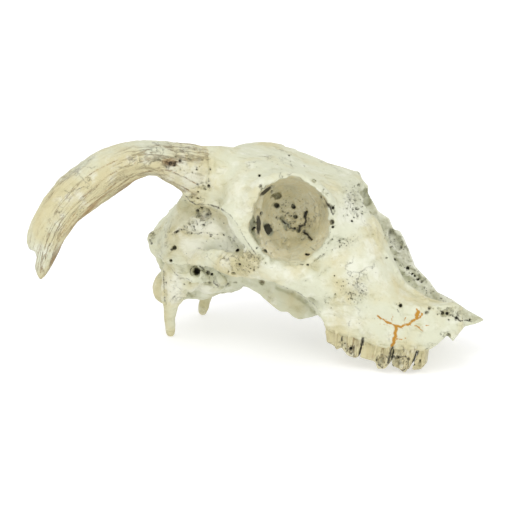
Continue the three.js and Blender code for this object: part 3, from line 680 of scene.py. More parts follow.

# Stains, dark seams and painted shade that run in lines: strength, radius in millimetres, places.
STROKES = {
    "ochre": [
        (1.0, 0.5, [(377, 314.5), (380, 318), (384, 319.5), (387, 322.5), (390, 323),
            (395.5, 325.7)]),
        (0.8, 0.35, [(383, 313.5), (385, 317), (387, 320), (391, 323)]),
        (0.7, 0.35, [(380, 324), (385, 324.5), (391, 327), (395, 327)]),
        (1.0, 0.75, [(395.5, 325.7), (396.5, 329), (395, 333), (396, 336), (393.5, 339),
            (394, 342), (392, 346)]),
        (1.0, 0.6, [(397, 325.7), (401, 327), (405, 324.5), (409, 324.5), (412, 321),
            (415, 319.5), (418, 315)]),
        (1.0, 0.9, [(416.5, 315), (418.5, 312)]),
        (0.9, 0.45, [(417.5, 312), (416.8, 309)]),
        (1.0, 0.5, [(414, 320), (417, 318.5), (420, 317.5), (422, 314)]),
        (0.8, 0.35, [(409, 324.5), (413, 326.5), (416, 325.5), (420, 328), (423, 326.5),
            (429, 325)]),
        (0.8, 0.35, [(417, 326), (420, 329), (423, 331)]),
        (0.8, 0.35, [(395, 340.5), (398, 338.5), (402, 339.5), (405.8, 337.8)]),
        (0.7, 0.3, [(392.5, 323), (391.5, 319), (393, 317), (392, 313)]),
        (0.6, 0.3, [(401, 326), (402.5, 329), (405, 331), (407, 334)]),
        (0.6, 0.3, [(394, 333), (390, 335), (388, 338)]),
        (0.7, 0.4, [(405, 324), (404, 320), (406, 317)]),
    ],
    "rust": [
        (0.85, 0.35, [(36, 262), (41, 244), (50, 222), (64, 200), (80, 182)]),
        (0.85, 0.35, [(44, 262), (50, 243), (60, 223), (74, 205), (92, 189)]),
        (0.85, 0.35, [(60, 236), (68, 222), (80, 208), (96, 197)]),
        (0.85, 0.35, [(70, 190), (84, 178), (100, 168), (118, 160)]),
        (0.85, 0.35, [(96, 186), (108, 176), (122, 168), (138, 162), (150, 159)]),
        (0.85, 0.35, [(104, 192), (116, 183), (128, 176), (142, 171), (152, 172)]),
        (0.85, 0.35, [(84, 200), (86, 196), (100, 184)]),
        (0.85, 0.35, [(40, 274), (44, 262), (50, 250)]),
        (0.85, 0.35, [(166, 180), (178, 184), (190, 191), (198, 198)]),
        (0.85, 0.35, [(160, 170), (172, 171), (186, 178), (196, 184)]),
        (0.9, 0.4, [(50, 268), (58, 254), (67, 238), (80, 222), (98, 208), (118, 193),
            (134, 182)]),
        (0.85, 0.35, [(54, 250), (64, 232), (76, 217), (92, 204), (112, 190), (130, 178),
            (146, 172)]),
        (0.8, 0.35, [(138, 170), (150, 168), (162, 172), (176, 180)]),
    ],
    # soot_and_shade: dark cracks, seams and rings, and painted shade in the gaps between the teeth
    # (the first seven strokes)
    "soot_and_shade": [
        (1.0, 0.95, [(363, 338), (362, 343), (360.5, 349), (359, 355)]),
        (1.0, 1.0, [(392, 347), (390.5, 354), (389, 362)]),
        (1.0, 0.8, [(418, 351), (414, 360), (411, 366)]),
        (0.9, 0.55, [(342, 336), (341.5, 342), (342, 347)]),
        (0.5, 0.4, [(355, 341), (354, 347), (355, 355)]),
        (0.5, 0.4, [(376, 346), (375, 352), (376, 358)]),
        (0.5, 0.4, [(401, 349), (402, 355)]),
        (0.8, 0.4, [(376, 358), (379, 354.5), (384, 354), (388, 358), (388, 364), (382, 367.5),
            (377, 364), (376, 358)]),
        (0.9, 0.45, [(391, 357), (395, 355.5), (400, 357), (405, 356), (409, 360), (408.5, 367),
            (402, 371), (395, 368), (391, 364)]),
        (0.7, 0.4, [(413, 362), (417, 359), (423, 359.5), (427, 362), (427, 367), (420, 369),
            (414, 368)]),
        (0.7, 0.4, [(348, 346), (351, 345), (354, 347), (354, 351), (351, 353), (348, 351),
            (348, 346)]),
        (0.7, 0.45, [(396, 305), (398, 302.5), (401.5, 303.5), (402, 307)]),
        (0.7, 0.4, [(397, 309), (399.5, 313), (401, 317), (403, 323)]),
        (0.5, 0.4, [(395, 313), (400, 312), (403, 314)]),
        (0.9, 0.5, [(440, 310), (444, 314), (448, 313.5), (452, 316), (457, 317.5), (460, 321),
            (466, 320), (472, 322)]),
        (0.6, 0.4, [(462, 330), (459, 327), (463, 324)]),
        (0.6, 0.5, [(358, 172), (362, 182), (368, 191), (371, 202)]),
        (0.45, 0.4, GUM_LINE),
        (0.7, 0.6, [(171.8, 235), (175.6, 232), (180, 229), (185, 230), (191, 233), (198.6, 234),
            (203, 232), (213, 235)]),
        (0.7, 0.6, [(185, 195), (190, 201), (196, 205), (203, 204.5), (211, 205), (220, 208),
            (230, 215), (238, 225), (243, 235), (250, 246), (256, 254)]),
        (0.5, 0.6, [(156, 250), (160, 256), (165, 261), (178, 265), (192, 264), (203, 259),
            (213, 253)]),
        (0.6, 0.5, [(213, 235), (222, 234), (232, 238), (240, 250)]),
        (0.55, 0.6, EAR_SEAM),
        (0.55, 0.6, TIP_CRACK),
        (0.6, 0.7, JUGULAR_EDGE),
        (0.65, 0.6, [(219, 272), (214, 277), (213.5, 283), (218, 286)]),
        (0.65, 0.5, [(217, 271), (222, 273), (226, 278), (228.5, 283), (226, 286)]),
        (0.8, 0.5, [(190, 274), (190.5, 269), (195, 265.5), (200, 266), (204, 270)]),
        (0.6, 0.5, [(203, 282), (211, 287), (218, 288)]),
        (0.6, 0.5, [(252, 212), (254.5, 201), (261, 191), (271, 184)]),
        (0.55, 0.5, [(322, 201), (329, 217), (330.5, 232), (327, 245), (319, 256.5)]),
        (0.55, 0.5, [(254.5, 232), (264, 250), (281, 263), (308, 262)]),
        (0.9, 0.7, [(324, 199), (327, 204), (330, 207), (333, 214)]),
        (0.5, 0.5, [(245, 222), (254, 236), (262, 250)]),
        (0.6, 0.5, HORN_SEAM),
        (0.45, 0.5, HORN_CRACK),
        (1.0, 0.8, [(306.5, 211), (305.2, 216), (306, 221), (304, 225.5), (300, 226.5),
            (299, 231)]),
        (0.9, 0.7, SOCKET_CRACK),
        (0.9, 0.7, SOCKET_CRACK_LOW),
        (0.5, 0.7, [(263, 246), (268, 241), (275, 240), (283, 238), (290, 240)]),
        (0.45, 0.7, [(290, 240), (287, 250), (290, 262)]),
        (0.5, 0.6, [(300, 238), (308, 246), (318, 252)]),
        (0.5, 0.5, [(307, 191), (312, 198), (317, 206), (320, 215), (319, 227)]),
        (0.5, 0.5, JUGULAR_CRACK),
        (0.6, 0.6, [(217.7, 271), (227.6, 281.6)]),
        (0.4, 0.5, [(320, 196), (326, 205), (333, 214), (333, 227)]),
        (0.5, 0.5, [(262, 263), (270, 267), (284, 269), (298, 268), (312, 263), (324, 253)]),
        (0.6, 0.6, [(279, 285), (295, 291), (305, 297), (313, 303), (320, 312)]),
        (0.4, 0.4, [(230, 263), (236, 262), (243, 267), (250, 268), (258, 275)]),
        (0.4, 0.4, [(257, 284), (264, 292), (272, 300), (278, 309)]),
    ],
}
MARKS = ("moss", "ochre", "rust", "soot_and_shade", "rough", "straw", "bleach_and_light")

# How far a daub reaches into the picture, and how far round a point the bone is felt for the
# painted shade in its pits and hollows.
DAUB_DEPTH = 10.0
PIT_REACH = 1.3
HOLLOW_REACH = 5.0

# Lights: name, direction round the skull and height in degrees, strength in watts per square
# metre, and how wide the light's disc is in degrees.
LIGHTS = [
    ("key", -15, 60, 0.75, 35),
    ("front", 34, 18, 0.75, 60),
]
SKY_STRENGTH = 0.86

# Floor: half its width in metres, its colour and how much light it gives itself.
FLOOR_REACH = 20.0
FLOOR_COLOUR = (0.6, 0.6, 0.605)
FLOOR_GLOW = 0.8

# ------------------------------------------------------------------ shapes

# Fillet at the ends of a loft, pieces of a bar between two rows, and how far round a piece its
# distances are worked out.
LOFT_END = 3.0
BAR_STEPS = 5
BAR_REACH = 8


def smooth_rows(rows, at):
    """Every column after the first, on a smooth curve through the rows."""
    rows = np.asarray(rows, float)
    stops, values = rows[:, 0], rows[:, 1:]
    slopes = np.gradient(values, stops, axis=0)
    at = np.clip(at, stops[0], stops[-1])
    i = np.clip(np.searchsorted(stops, at) - 1, 0, len(stops) - 2)
    width = (stops[i + 1] - stops[i])[:, None]
    t = (at - stops[i])[:, None] / width
    return (
        values[i] * (1 + 2 * t) * (1 - t) ** 2
        + values[i + 1] * t * t * (3 - 2 * t)
        + slopes[i] * width * t * (1 - t) ** 2
        - slopes[i + 1] * width * t * t * (1 - t)
    ).astype(np.float32)


def smooth_min(a, b, blend):
    """The lesser of two distances, with a fillet about as wide as the blend."""
    if not blend:
        return np.minimum(a, b)
    h = np.maximum(blend - np.abs(a - b), 0) / blend
    return np.minimum(a, b) - h * h * (blend / 4)


def smooth_max(a, b, blend):
    return -smooth_min(-a, -b, blend)


def reach_along(offsets, direction):
    """How far offsets reach along a direction."""
    (x, y, z), (a, b, c) = offsets, np.asarray(direction, np.float32)
    return x * a + y * b + z * c


def step_between(value, low, high):
    """0 below low, 1 above high, and smooth between."""
    t = np.clip((value - low) / (high - low), 0, 1)
    return t * t * (3 - 2 * t)


def unit(vector):
    vector = np.asarray(vector, float)
    return vector / np.linalg.norm(vector)


class Shape:
    """A distance function and the box that holds what it encloses."""

    def __init__(self, distance, low, high):
        self.distance = distance
        self.low = np.asarray(low, float)
        self.high = np.asarray(high, float)


def ball(middle, half, side=LEFT):
    """Ball with its own half size along each axis."""
    middle = np.asarray(middle, float) * (1, side, 1)
    half = np.asarray(half, float)

    def distance(x, y, z):
        p = [(c - m) / h for c, m, h in zip((x, y, z), middle, half)]
        near = np.sqrt(sum(c * c for c in p))
        slope = np.sqrt(sum((c / h) ** 2 for c, h in zip(p, half)))
        return near * (near - 1) / np.maximum(slope, 1e-6)

    return Shape(distance, middle - half, middle + half)


def loft(rows):
    """Body of changing section along X, with rounded ends."""
    table = np.asarray(rows, float)

    def distance(x, y, z):
        columns = smooth_rows(rows, x.ravel()).T
        low, wide, high, half, full, full_low = (c[:, None, None] for c in columns)
        rise = z - wide
        height = np.where(rise > 0, high - wide, wide - low)
        power = np.where(rise > 0, full, full_low)
        q = ((np.abs(y) / half) ** power + (np.abs(rise) / height) ** power) ** (1 / power)
        ends = np.maximum(x - table[-1, 0], table[0, 0] - x)
        return smooth_max((q - 1) * np.minimum(half, height), ends, LOFT_END)

    half = table[:, 4].max()
    low = (table[0, 0], -half, table[:, 1].min())
    high = (table[-1, 0], half, table[:, 3].max())
    return Shape(distance, low, high)


def bar(rows, normal=(0, 1, 0), side=LEFT):
    """Bar of oval section along a smooth line; its second half size lies along the normal."""
    table = np.asarray(rows, float) * (1, side, 1, 1, 1)
    normal = np.asarray(normal, float) * (1, side, 1)
    last = len(table) - 1
    stops = np.linspace(0, last, BAR_STEPS * last + 1)
    fine = smooth_rows(np.column_stack([np.arange(last + 1), table]), stops)
    points, halves = fine[:, :3].astype(float), fine[:, 3:].astype(float)
    reach = halves.max() + 1

    def distance(x, y, z):
        best = np.full(np.broadcast(x, y, z).shape, FAR, np.float32)
        for i in range(len(points) - 1):
            a, b = points[i], points[i + 1]
            length = np.linalg.norm(b - a)
            along = (b - a) / length
            thin = unit(normal - along * (normal @ along))
            wide = np.cross(along, thin)
            pad = max(halves[i].max(), halves[i + 1].max()) + BAR_REACH
            cuts = []
            for axis, coordinate in enumerate((x, y, z)):
                line = coordinate.ravel()
                ends = min(a[axis], b[axis]) - pad, max(a[axis], b[axis]) + pad
                cuts.append(slice(*np.searchsorted(line, ends)))
            away = x[cuts[0]] - a[0], y[:, cuts[1]] - a[1], z[:, :, cuts[2]] - a[2]
            s = reach_along(away, along)
            t = np.clip(s / length, 0, 1)
            across = halves[i][0] + (halves[i + 1][0] - halves[i][0]) * t
            through = halves[i][1] + (halves[i + 1][1] - halves[i][1]) * t
            least = np.minimum(across, through)
            over = (s - t * length) / least
            p, q = reach_along(away, thin) / through, reach_along(away, wide) / across
            near = np.sqrt(p**2 + q**2 + over * over)
            part = best[tuple(cuts)]
            np.minimum(part, (near - 1) * least, out=part)
        return best

    return Shape(distance, points.min(0) - reach, points.max(0) + reach)


def strand(points, radius):
    """Round rod through a run of points."""
    points = np.asarray(points, float)

    def distance(x, y, z):
        best = np.float32(FAR)
        for a, b in zip(points, points[1:]):
            d = b - a
            along = (x - a[0]) * d[0] + (y - a[1]) * d[1] + (z - a[2]) * d[2]
            t = np.clip(along / max(d @ d, 1e-9), 0, 1)
            px, py, pz = x - a[0] - d[0] * t, y - a[1] - d[1] * t, z - a[2] - d[2] * t
            best = np.minimum(best, np.sqrt(px**2 + py**2 + pz**2) - radius)
        return best

    return Shape(distance, points.min(0) - radius, points.max(0) + radius)


def outline_distance(outline, x, z):
    """Signed distance from a closed outline in X and Z, negative inside."""
    best = np.full(np.broadcast(x, z).shape, 1e9, np.float32)
    inside = np.zeros(best.shape, bool)
    points = np.asarray(outline, float)
    for (ax, az), (bx, bz) in zip(points, np.roll(points, -1, 0)):
        ex, ez = bx - ax, bz - az
        wx, wz = x - ax, z - az
        t = np.clip((wx * ex + wz * ez) / (ex * ex + ez * ez), 0, 1)
        best = np.minimum(best, (wx - ex * t) ** 2 + (wz - ez * t) ** 2)
        inside ^= ((az > z) != (bz > z)) & (wx < ex * wz / (ez if ez else 1e-9))
    return np.where(inside, -1, 1) * np.sqrt(best)


def slab(outline, inner, outer, side=LEFT):
    """Flat plate with an outline in X and Z, between two distances from the middle plane."""
    points = np.asarray(outline, float)

    def distance(x, y, z):
        flat = outline_distance(outline, x, z)
        return smooth_max(flat, np.maximum(inner - side * y, side * y - outer), 1.0)

    ends = sorted((side * inner, side * outer))
    return Shape(
        distance,
        (points[:, 0].min(), ends[0], points[:, 1].min()),
        (points[:, 0].max(), ends[1], points[:, 1].max()),
    )


def beyond(plane, x, y, z):
    """How far each point lies beyond a plane given by a point and its outward direction."""
    point, outward = np.asarray(plane[0], float), unit(plane[1])
    return (x - point[0]) * outward[0] + (y - point[1]) * outward[1] + (z - point[2]) * outward[2]


# ------------------------------------------------------------------ block of points


class Block:
    """Grid of points over the whole skull with the distance of each from the bone."""

    def __init__(self, low, high, step):
        self.low, self.high, self.step = np.array(low), np.array(high), step
        self.axes = [np.arange(a, b + step, step, dtype=np.float32) for a, b in zip(low, high)]
        self.bone = np.full([len(axis) for axis in self.axes], FAR, np.float32)
        # dirt holds the dark laid into pores: dirt, with the painted shade of holes too small to
        # carve
        self.dirt = np.zeros_like(self.bone)

    def window(self, low, high):
        """Cuts of the grid that hold a box, and the coordinates of the points in them."""
        cuts = []
        for axis, a, b in zip(self.axes, low, high):
            first = max(0, int((a - axis[0]) / self.step) - 1)
            last = min(len(axis), int((b - axis[0]) / self.step) + 3)
            cuts.append(slice(first, max(first, last)))
        return tuple(cuts), np.ix_(*(axis[cut] for axis, cut in zip(self.axes, cuts)))

    def change(self, shape, blend, ragged, amount, how, sign):
        """Joins a shape to the bone or takes it away, with walls that wander a little."""
        cuts, at = self.window(shape.low - 2 - blend, shape.high + 2 + blend)
        distance = shape.distance(*at).astype(np.float32)
        if ragged is not None:
            distance = distance + ragged[cuts] * amount
        self.bone[cuts] = how(self.bone[cuts], sign * distance, blend)

    def add(self, shape, blend=0.0, ragged=None, amount=1.0):
        self.change(shape, blend, ragged, amount, smooth_min, 1)

    def cut(self, shape, blend=0.0, ragged=None, amount=1.0):
        self.change(shape, blend, ragged, amount, smooth_max, -1)

    def bell(self, spot, radius):
        """Window round a point, and a bell that is 1 there and dies away over the radius."""
        cuts, at = self.window(spot - 2.2 * radius, spot + 2.2 * radius)
        gap = sum((axis - place) ** 2 for axis, place in zip(at, spot))
        return cuts, np.exp(-gap / radius**2).astype(np.float32)

    def drop_chips(self):
        """Clears whatever is not joined to the braincase."""
        inside = self.bone < 0
        shape = np.array(inside.shape) // 2 * 2
        pairs = inside[tuple(slice(0, n) for n in shape)]
        pairs = pairs.reshape(shape[0] // 2, 2, shape[1] // 2, 2, shape[2] // 2, 2).any((1, 3, 5))
        joined = np.zeros_like(pairs)
        joined[tuple(((CORE - self.low) / self.step / 2).astype(int))] = True
        after, before = slice(1, None), slice(None, -1)
        count = 0
        while joined.sum() > count:
            count = joined.sum()
            for axis in range(3):
                for near, far in ((after, before), (before, after)):
                    one, two = [slice(None)] * 3, [slice(None)] * 3
                    one[axis], two[axis] = near, far
                    joined[tuple(one)] |= joined[tuple(two)] & pairs[tuple(one)]
        lone = np.zeros_like(inside)
        for corner in np.ndindex(2, 2, 2):
            lone[tuple(slice(c, n, 2) for c, n in zip(corner, shape))] = ~joined
        lone &= inside
        self.bone[lone] = self.step / 2

    def noise(self, period, seed, cuts=None):
        """Smooth noise from -1 to 1 with about that many millimetres between its bumps."""
        cuts = cuts or tuple(slice(None) for _ in self.axes)
        period = np.broadcast_to(period, 3)
        counts = [int((b - a) / p) + 5 for a, b, p in zip(self.low, self.high, period)]
        field = np.random.default_rng(seed).uniform(-1, 1, counts).astype(np.float32)
        weights = []
        for axis, low, p, cut, count in zip(self.axes, self.low, period, cuts, counts):
            at = (axis[cut] - low) / p + 1
            base = np.floor(at).astype(int)
            t = at - base
            table = np.zeros((len(at), count), np.float32)
            taps = (
                (-t + 2 * t * t - t**3) / 2,
                (2 - 5 * t * t + 3 * t**3) / 2,
                (t + 4 * t * t - 3 * t**3) / 2,
                (t**3 - t * t) / 2,
            )
            for shift, tap in enumerate(taps):
                table[np.arange(len(at)), base + shift - 1] = tap
            weights.append(table)
        field = np.tensordot(weights[0], field, 1)
        return np.matmul(weights[1], field) @ weights[2].T

    def sample(self, field, points):
        """Value of a field of this grid at any points, straight-line between its points."""
        at = (points - self.low) / self.step
        limit = np.array(field.shape) - 1.001
        at = np.clip(at, 0, limit)
        i = at.astype(int)
        t = (at - i).astype(np.float32)
        value = 0
        for corner in np.ndindex(2, 2, 2):
            share = np.prod(np.where(corner, t, 1 - t), axis=1)
            x, y, z = (i + corner).T
            value = value + share * field[x, y, z]
        return value


# ------------------------------------------------------------------ camera


def towards(turn, height):
    """Direction from the skull to what stands that many degrees round it and above the floor."""
    a, e = math.radians(turn), math.radians(height)
    return np.array([math.sin(a) * math.cos(e), -math.cos(a) * math.cos(e), math.sin(e)])


def camera_axes():
    """Directions from the skull back to the camera, to the picture's right and up."""
    back = towards(AZIMUTH, ELEVATION)
    a = math.radians(AZIMUTH)
    right = np.array([math.cos(a), math.sin(a), 0])
    return back, right, np.cross(back, right)


def on_screen(x, y, z):
    """Pixel places of points, and how many pixels a millimetre is at each."""
    away = x - AIM[0], y - AIM[1], z - AIM[2]
    nearer, across, above = (reach_along(away, axis) for axis in camera_axes())
    scale = PIXELS_PER_MM * DISTANCE / (DISTANCE - nearer)
    return FRAME_PIXELS / 2 + scale * across, FRAME_PIXELS / 2 - scale * above, scale


def struck(block, starts, rays, depths):
    """Where lines of sight first meet the bone; lines that miss it are left out."""
    points = starts[:, None, :] + depths[None, :, None] * rays[:, None, :]
    index = np.rint((points - block.low) / block.step).astype(int)
    index = np.clip(index, 0, np.array(block.bone.shape) - 1)
    hit = block.bone[tuple(np.moveaxis(index, -1, 0))] < 0
    found = points[np.arange(len(points)), hit.argmax(1)]
    return found[hit.any(1)]


def seen(block, places):
    """Points of the bone that show at places in the picture, in pixels from its top left."""
    back, right, up = camera_axes()
    places = np.asarray(places, float)
    middle = FRAME_PIXELS / 2
    across = (places[:, :1] - middle) / (PIXELS_PER_MM * DISTANCE)
    down = (places[:, 1:] - middle) / (PIXELS_PER_MM * DISTANCE)
    rays = -back + across * right - down * up
    starts = np.tile(AIM + DISTANCE * back, (len(places), 1))
    near, far, step = SIGHT
    return struck(block, starts, rays, np.arange(DISTANCE + near, DISTANCE + far, step))


def from_behind(block, places):
    """Points of the bone met from behind at places across and up, in millimetres."""
    starts = np.column_stack([np.full(len(places), block.low[0]), np.asarray(places, float)])
    return struck(block, starts, np.tile((1.0, 0, 0), (len(places), 1)), np.arange(*SIGHT_BEHIND))


def from_below(block, places):
    """Points of the bone met from below at places along and across, in millimetres."""
    starts = np.column_stack([np.asarray(places, float), np.full(len(places), block.low[2])])
    return struck(block, starts, np.tile((0, 0, 1.0), (len(places), 1)), np.arange(*SIGHT_BELOW))


def traced(block, places, spacing=SPACING, look=seen):
    """Runs of points on the bone under a line of places, parted where the bone steps away."""
    places = np.asarray(places, float)
    if len(places) == 1:
        found = look(block, places)
        return [np.concatenate([found, found])] if len(found) else []
    ends = np.r_[0, np.cumsum(np.hypot(*np.diff(places, axis=0).T))]
    at = np.linspace(0, ends[-1], max(2, int(ends[-1] / spacing) + 1))
    points = look(block, np.column_stack([np.interp(at, ends, column) for column in places.T]))
    steps = np.linalg.norm(np.diff(points, axis=0), axis=1)
    runs = np.split(points, np.nonzero(steps > STEP_AWAY)[0] + 1)
    return [run for run in runs if len(run) > 1]


def trimmed(block, field):
    """The field without what stands outside the skull's outline as the camera sees it."""
    pixels = np.arange(FRAME_PIXELS, dtype=np.float32)
    away = outline_distance(SKYLINE, pixels[:, None], pixels[None, :]).astype(np.float32)
    index = np.nonzero(field < 3)
    u, v, scale = on_screen(*(axis[i] for axis, i in zip(block.axes, index)))
    u, v = (np.clip(c, 0, FRAME_PIXELS - 1.01) for c in (u, v))
    i, j = u.astype(int), v.astype(int)
    s, t = u - i, v - j
    gap = away[i, j] * (1 - s) * (1 - t) + away[i + 1, j] * s * (1 - t)
    gap = gap + away[i, j + 1] * (1 - s) * t + away[i + 1, j + 1] * s * t
    field[index] = smooth_max(field[index], gap / scale, 1.0)
    return field


# ------------------------------------------------------------------ carving

CARVED = {}


def socket_axes(side):
    """Directions of the socket's own length, outward axis and height."""
    forward, up = math.radians(SOCKET["forward"]), math.radians(SOCKET["up"])
    flat = math.cos(up)
    outward = (math.sin(forward) * flat, side * math.cos(forward) * flat, math.sin(up))
    outward = np.array(outward)
    along = unit(np.cross(outward, (0, 0, 1)) * side)
    height = np.cross(along, outward) * side
    return along, outward, height


def socket_shapes(side):
    """Bowl of the eye socket, the raised rim round its mouth and the wall behind it."""
    middle = np.array(SOCKET["middle"]) * (1, side, 1)
    length, depth, height = SOCKET["half"]
    along, outward, upward = socket_axes(side)

    def local(x, y, z):
        return [
            (x - middle[0]) * v[0] + (y - middle[1]) * v[1] + (z - middle[2]) * v[2]
            for v in (along, outward, upward)
        ]

    def bowl(x, y, z):
        u, w, v = local(x, y, z)
        q = np.sqrt((u / length) ** 2 + (w / depth) ** 2 + (v / height) ** 2)
        turn = np.arctan2(v, u)
        uneven = 0.45 * np.sin(turn * 7 + 0.5) + 0.3 * np.sin(turn * 17 + 2 * np.sin(turn * 3))
        uneven = uneven + 0.12 * np.sin(turn * 31)
        return (q - 1) * length + uneven * step_between(w, -9, -1)

    def rim(x, y, z):
        u, w, v = local(x, y, z)
        q = np.sqrt((u / length) ** 2 + (v / height) ** 2)
        turn = np.arctan2(v, u)
        uneven = 0.5 * np.sin(turn * 5 + 1) + 0.4 * np.sin(turn * 13)
        uneven = uneven + 0.25 * np.sin(turn * 29 + 2)
        outer = (q - 1) * (length + height) / 2 - SOCKET_RIM * 0.6
        return np.sqrt(outer**2 + (w + 2.2 + 0.5 * uneven) ** 2) - SOCKET_RIM - 0.3 * uneven

    def wall(x, y, z):
        u, w, v = local(x, y, z)
        shell = bowl(x, y, z) - SOCKET_WALL
        return smooth_max(shell, np.maximum(w + 7, -u - 17), 3.0)

    reach = np.array([26.0, 32, 28])
    return [Shape(form, middle - reach, middle + reach) for form in (bowl, rim, wall)]


def gum_edge(side):
    """Edge of the upper jaw that the teeth grow from."""
    table = np.asarray(GUM, float)

    def distance(x, y, z):
        level, middle, half = (c[:, None, None] for c in smooth_rows(GUM, x.ravel()).T)
        scallop = 0.5 * np.abs(np.sin(x * 0.42))
        flat = np.abs(side * y - middle) - half
        high = np.maximum(level + scallop - z, z - GUM_TOP)
        ends = np.maximum(table[0, 0] - x, x - table[-1, 0])
        return smooth_max(smooth_max(flat, high, 2.0), ends, 2.0)

    low, high = table.min(0), table.max(0)
    ends = sorted((side * (low[2] - high[3]), side * (high[2] + high[3])))
    return Shape(distance, (low[0], ends[0], low[1]), (high[0], ends[1], GUM_TOP))


def tooth_shape(number, side):
    """One cheek tooth: ribbed outside, lobed inside, and worn to the row's worn edge."""
    (rear, rear_slant), (front, front_slant) = GAPS[number], GAPS[number + 1]
    middle, half, lobes = TEETH[number]

    def distance(x, y, z):
        out = side * y - middle
        start, end = rear + rear_slant * z, front + front_slant * z
        lobe = (x - start) / (end - start) * lobes
        wave = np.abs(np.sin(np.pi * lobe))
        rib = np.abs(np.cos(np.pi * lobe)) ** 6
        outer = half - 1.3 * wave + 1.0 * rib + 0.35 * np.cos(lobe * 19)
        inner = half * (0.5 + 0.5 * wave**0.7)
        flat = np.maximum(out - outer, -out - inner)
        ends = np.maximum(start - x, x - end) + GAP_HALF
        body = smooth_max(flat, ends, 1.4)
        level = np.interp(x, *np.transpose(WORN)).astype(np.float32)
        slope = 1.1 * np.clip(-out / half, -0.1, 1) + 0.7 * (1 - wave) * (np.abs(out) < half * 0.7)
        pool = 1.3 * np.exp(-(((out + 0.5) / 2.2) ** 2) - ((wave - 1) / 0.5) ** 2)
        return smooth_max(body, np.maximum(level + slope + pool - z, z - TOOTH_TOP), 0.7)

    ends = sorted((side * (middle - half - 1), side * (middle + half + 1)))
    foremost = front + front_slant * GUM_TOP
    return Shape(distance, (rear, ends[0], -1), (foremost, ends[1], TOOTH_TOP))


def carve_bones(block):
    """The whole skull without its teeth, and the horn core's own distances."""
    block.add(loft(BRAINCASE))
    block.add(loft(FOREHEAD), 5)
    block.add(loft(MUZZLE), 6)
    block.add(loft(SKULL_BASE), 5)
    block.add(ball(*NUCHAL_CREST), 5)
    for side in SIDES.values():
        block.add(ball(*MASTOID, side), 5)
        block.add(bar(JUGULAR, side=side), 4)
        block.add(ball(*CONDYLE, side), 3)
        block.add(ball(*EAR_TUBE, side), 2)
        block.add(ball(*BULLA, side), 2)
        bowl, rim, wall = socket_shapes(side)
        block.add(gum_edge(side), 6)
        block.add(rim, 7)
        block.add(bar(CHEEK_ARCH, side=side), 2)
        block.add(bar(SOCKET_BAR, side=side), 4)
        block.add(wall, 3)
        block.cut(bowl, 1)
        block.add(slab(PALATE_WING, *PALATE_WING_FACES, side), 2)
        block.cut(ball(*EAR_HOLE, side), 0.8)
    block.cut(loft(NASAL_HOLLOW), 1.5)
    block.cut(loft(PALATE_VAULT), 3)
    block.cut(ball(*FORAMEN_MAGNUM), 2)
    break_left_brow(block)
    break_muzzle(block)
    cuts, at = block.window(*HORN_BOX)
    horn = bar(HORN, HORN_NORMAL, RIGHT).distance(*at)
    lost = -ball(*TIP_BREAK).distance(*at) + block.noise(2.2, 5, cuts) * 0.8
    horn = smooth_max(horn, lost, 0.5)
    block.horn = np.full_like(block.bone, FAR)
    block.horn[cuts] = horn
    block.bone[cuts] = smooth_min(block.bone[cuts], horn, 5)


def break_left_brow(block):
    """Opens the sinus above the left socket, along a rough broken edge."""
    cuts, at = block.window(*BROW_BOX)
    rough = block.noise(9, 11, cuts) * 2.4 + block.noise(3.2, 12, cuts) * 1.3
    rough = rough + block.noise(1.6, 13, cuts) * 0.6 - 1
    lost = beyond(BROW_BREAK, *at) + rough
    block.bone[cuts] = smooth_max(block.bone[cuts], lost.astype(np.float32), 0.6)
    uneven = block.noise(3.4, 14) * 1.7 + block.noise(1.7, 15) * 0.7
    for cell in SINUS_CELLS:
        block.cut(ball(*cell), 0.6, uneven)


def break_muzzle(block):
    """Breaks off the right muzzle's end and the left wall of the nose."""
    cuts, at = block.window(*MUZZLE_BOX)
    rough = block.noise(5, 21, cuts) * 2 + block.noise(1.8, 22, cuts) * 0.7
    gone = at[0] - RIGHT_MUZZLE_END + rough
    block.bone[cuts] = smooth_max(block.bone[cuts], gone.astype(np.float32), 0.6)
    cuts, at = block.window(*NOSE_BREAK_BOX)
    lost = -outline_distance(LEFT_NOSE_BREAK, at[0], at[2]) + block.noise(4, 23, cuts) * 1.2
    block.bone[cuts] = smooth_max(block.bone[cuts], lost.astype(np.float32), 0.6)


def crumble(block):
    """Crumbly, worn walls inside the broken nose and along its edges."""
    cuts, at = block.window(*NOSE_INSIDE_BOX)
    rough = block.noise(4.5, 61, cuts) * 0.8 + block.noise(2.1, 62, cuts) * 0.75
    rough = rough + block.noise(1.4, 63, cuts) * 0.5
    inner = step_between(at[1], -10, 4) * step_between(at[0], 40, 50)
    block.bone[cuts] += rough * inner


def carve_teeth(block):
    """Sets the teeth in the jaws, and keeps their own distances."""
    block.teeth = np.full_like(block.bone, FAR)
    for side, count in ((RIGHT, len(TEETH)), (LEFT, len(TEETH) - 1)):
        for number in range(count):
            shape = tooth_shape(number, side)
            cuts, at = block.window(shape.low - 2, shape.high + 2)
            own = shape.distance(*at).astype(np.float32)
            block.teeth[cuts] = np.minimum(block.teeth[cuts], own)
    block.teeth = trimmed(block, block.teeth)
    np.minimum(block.bone, block.teeth, out=block.bone)
    rest = block.noise(2, 34) * 0.12
    block.bone += rest
    block.teeth += rest


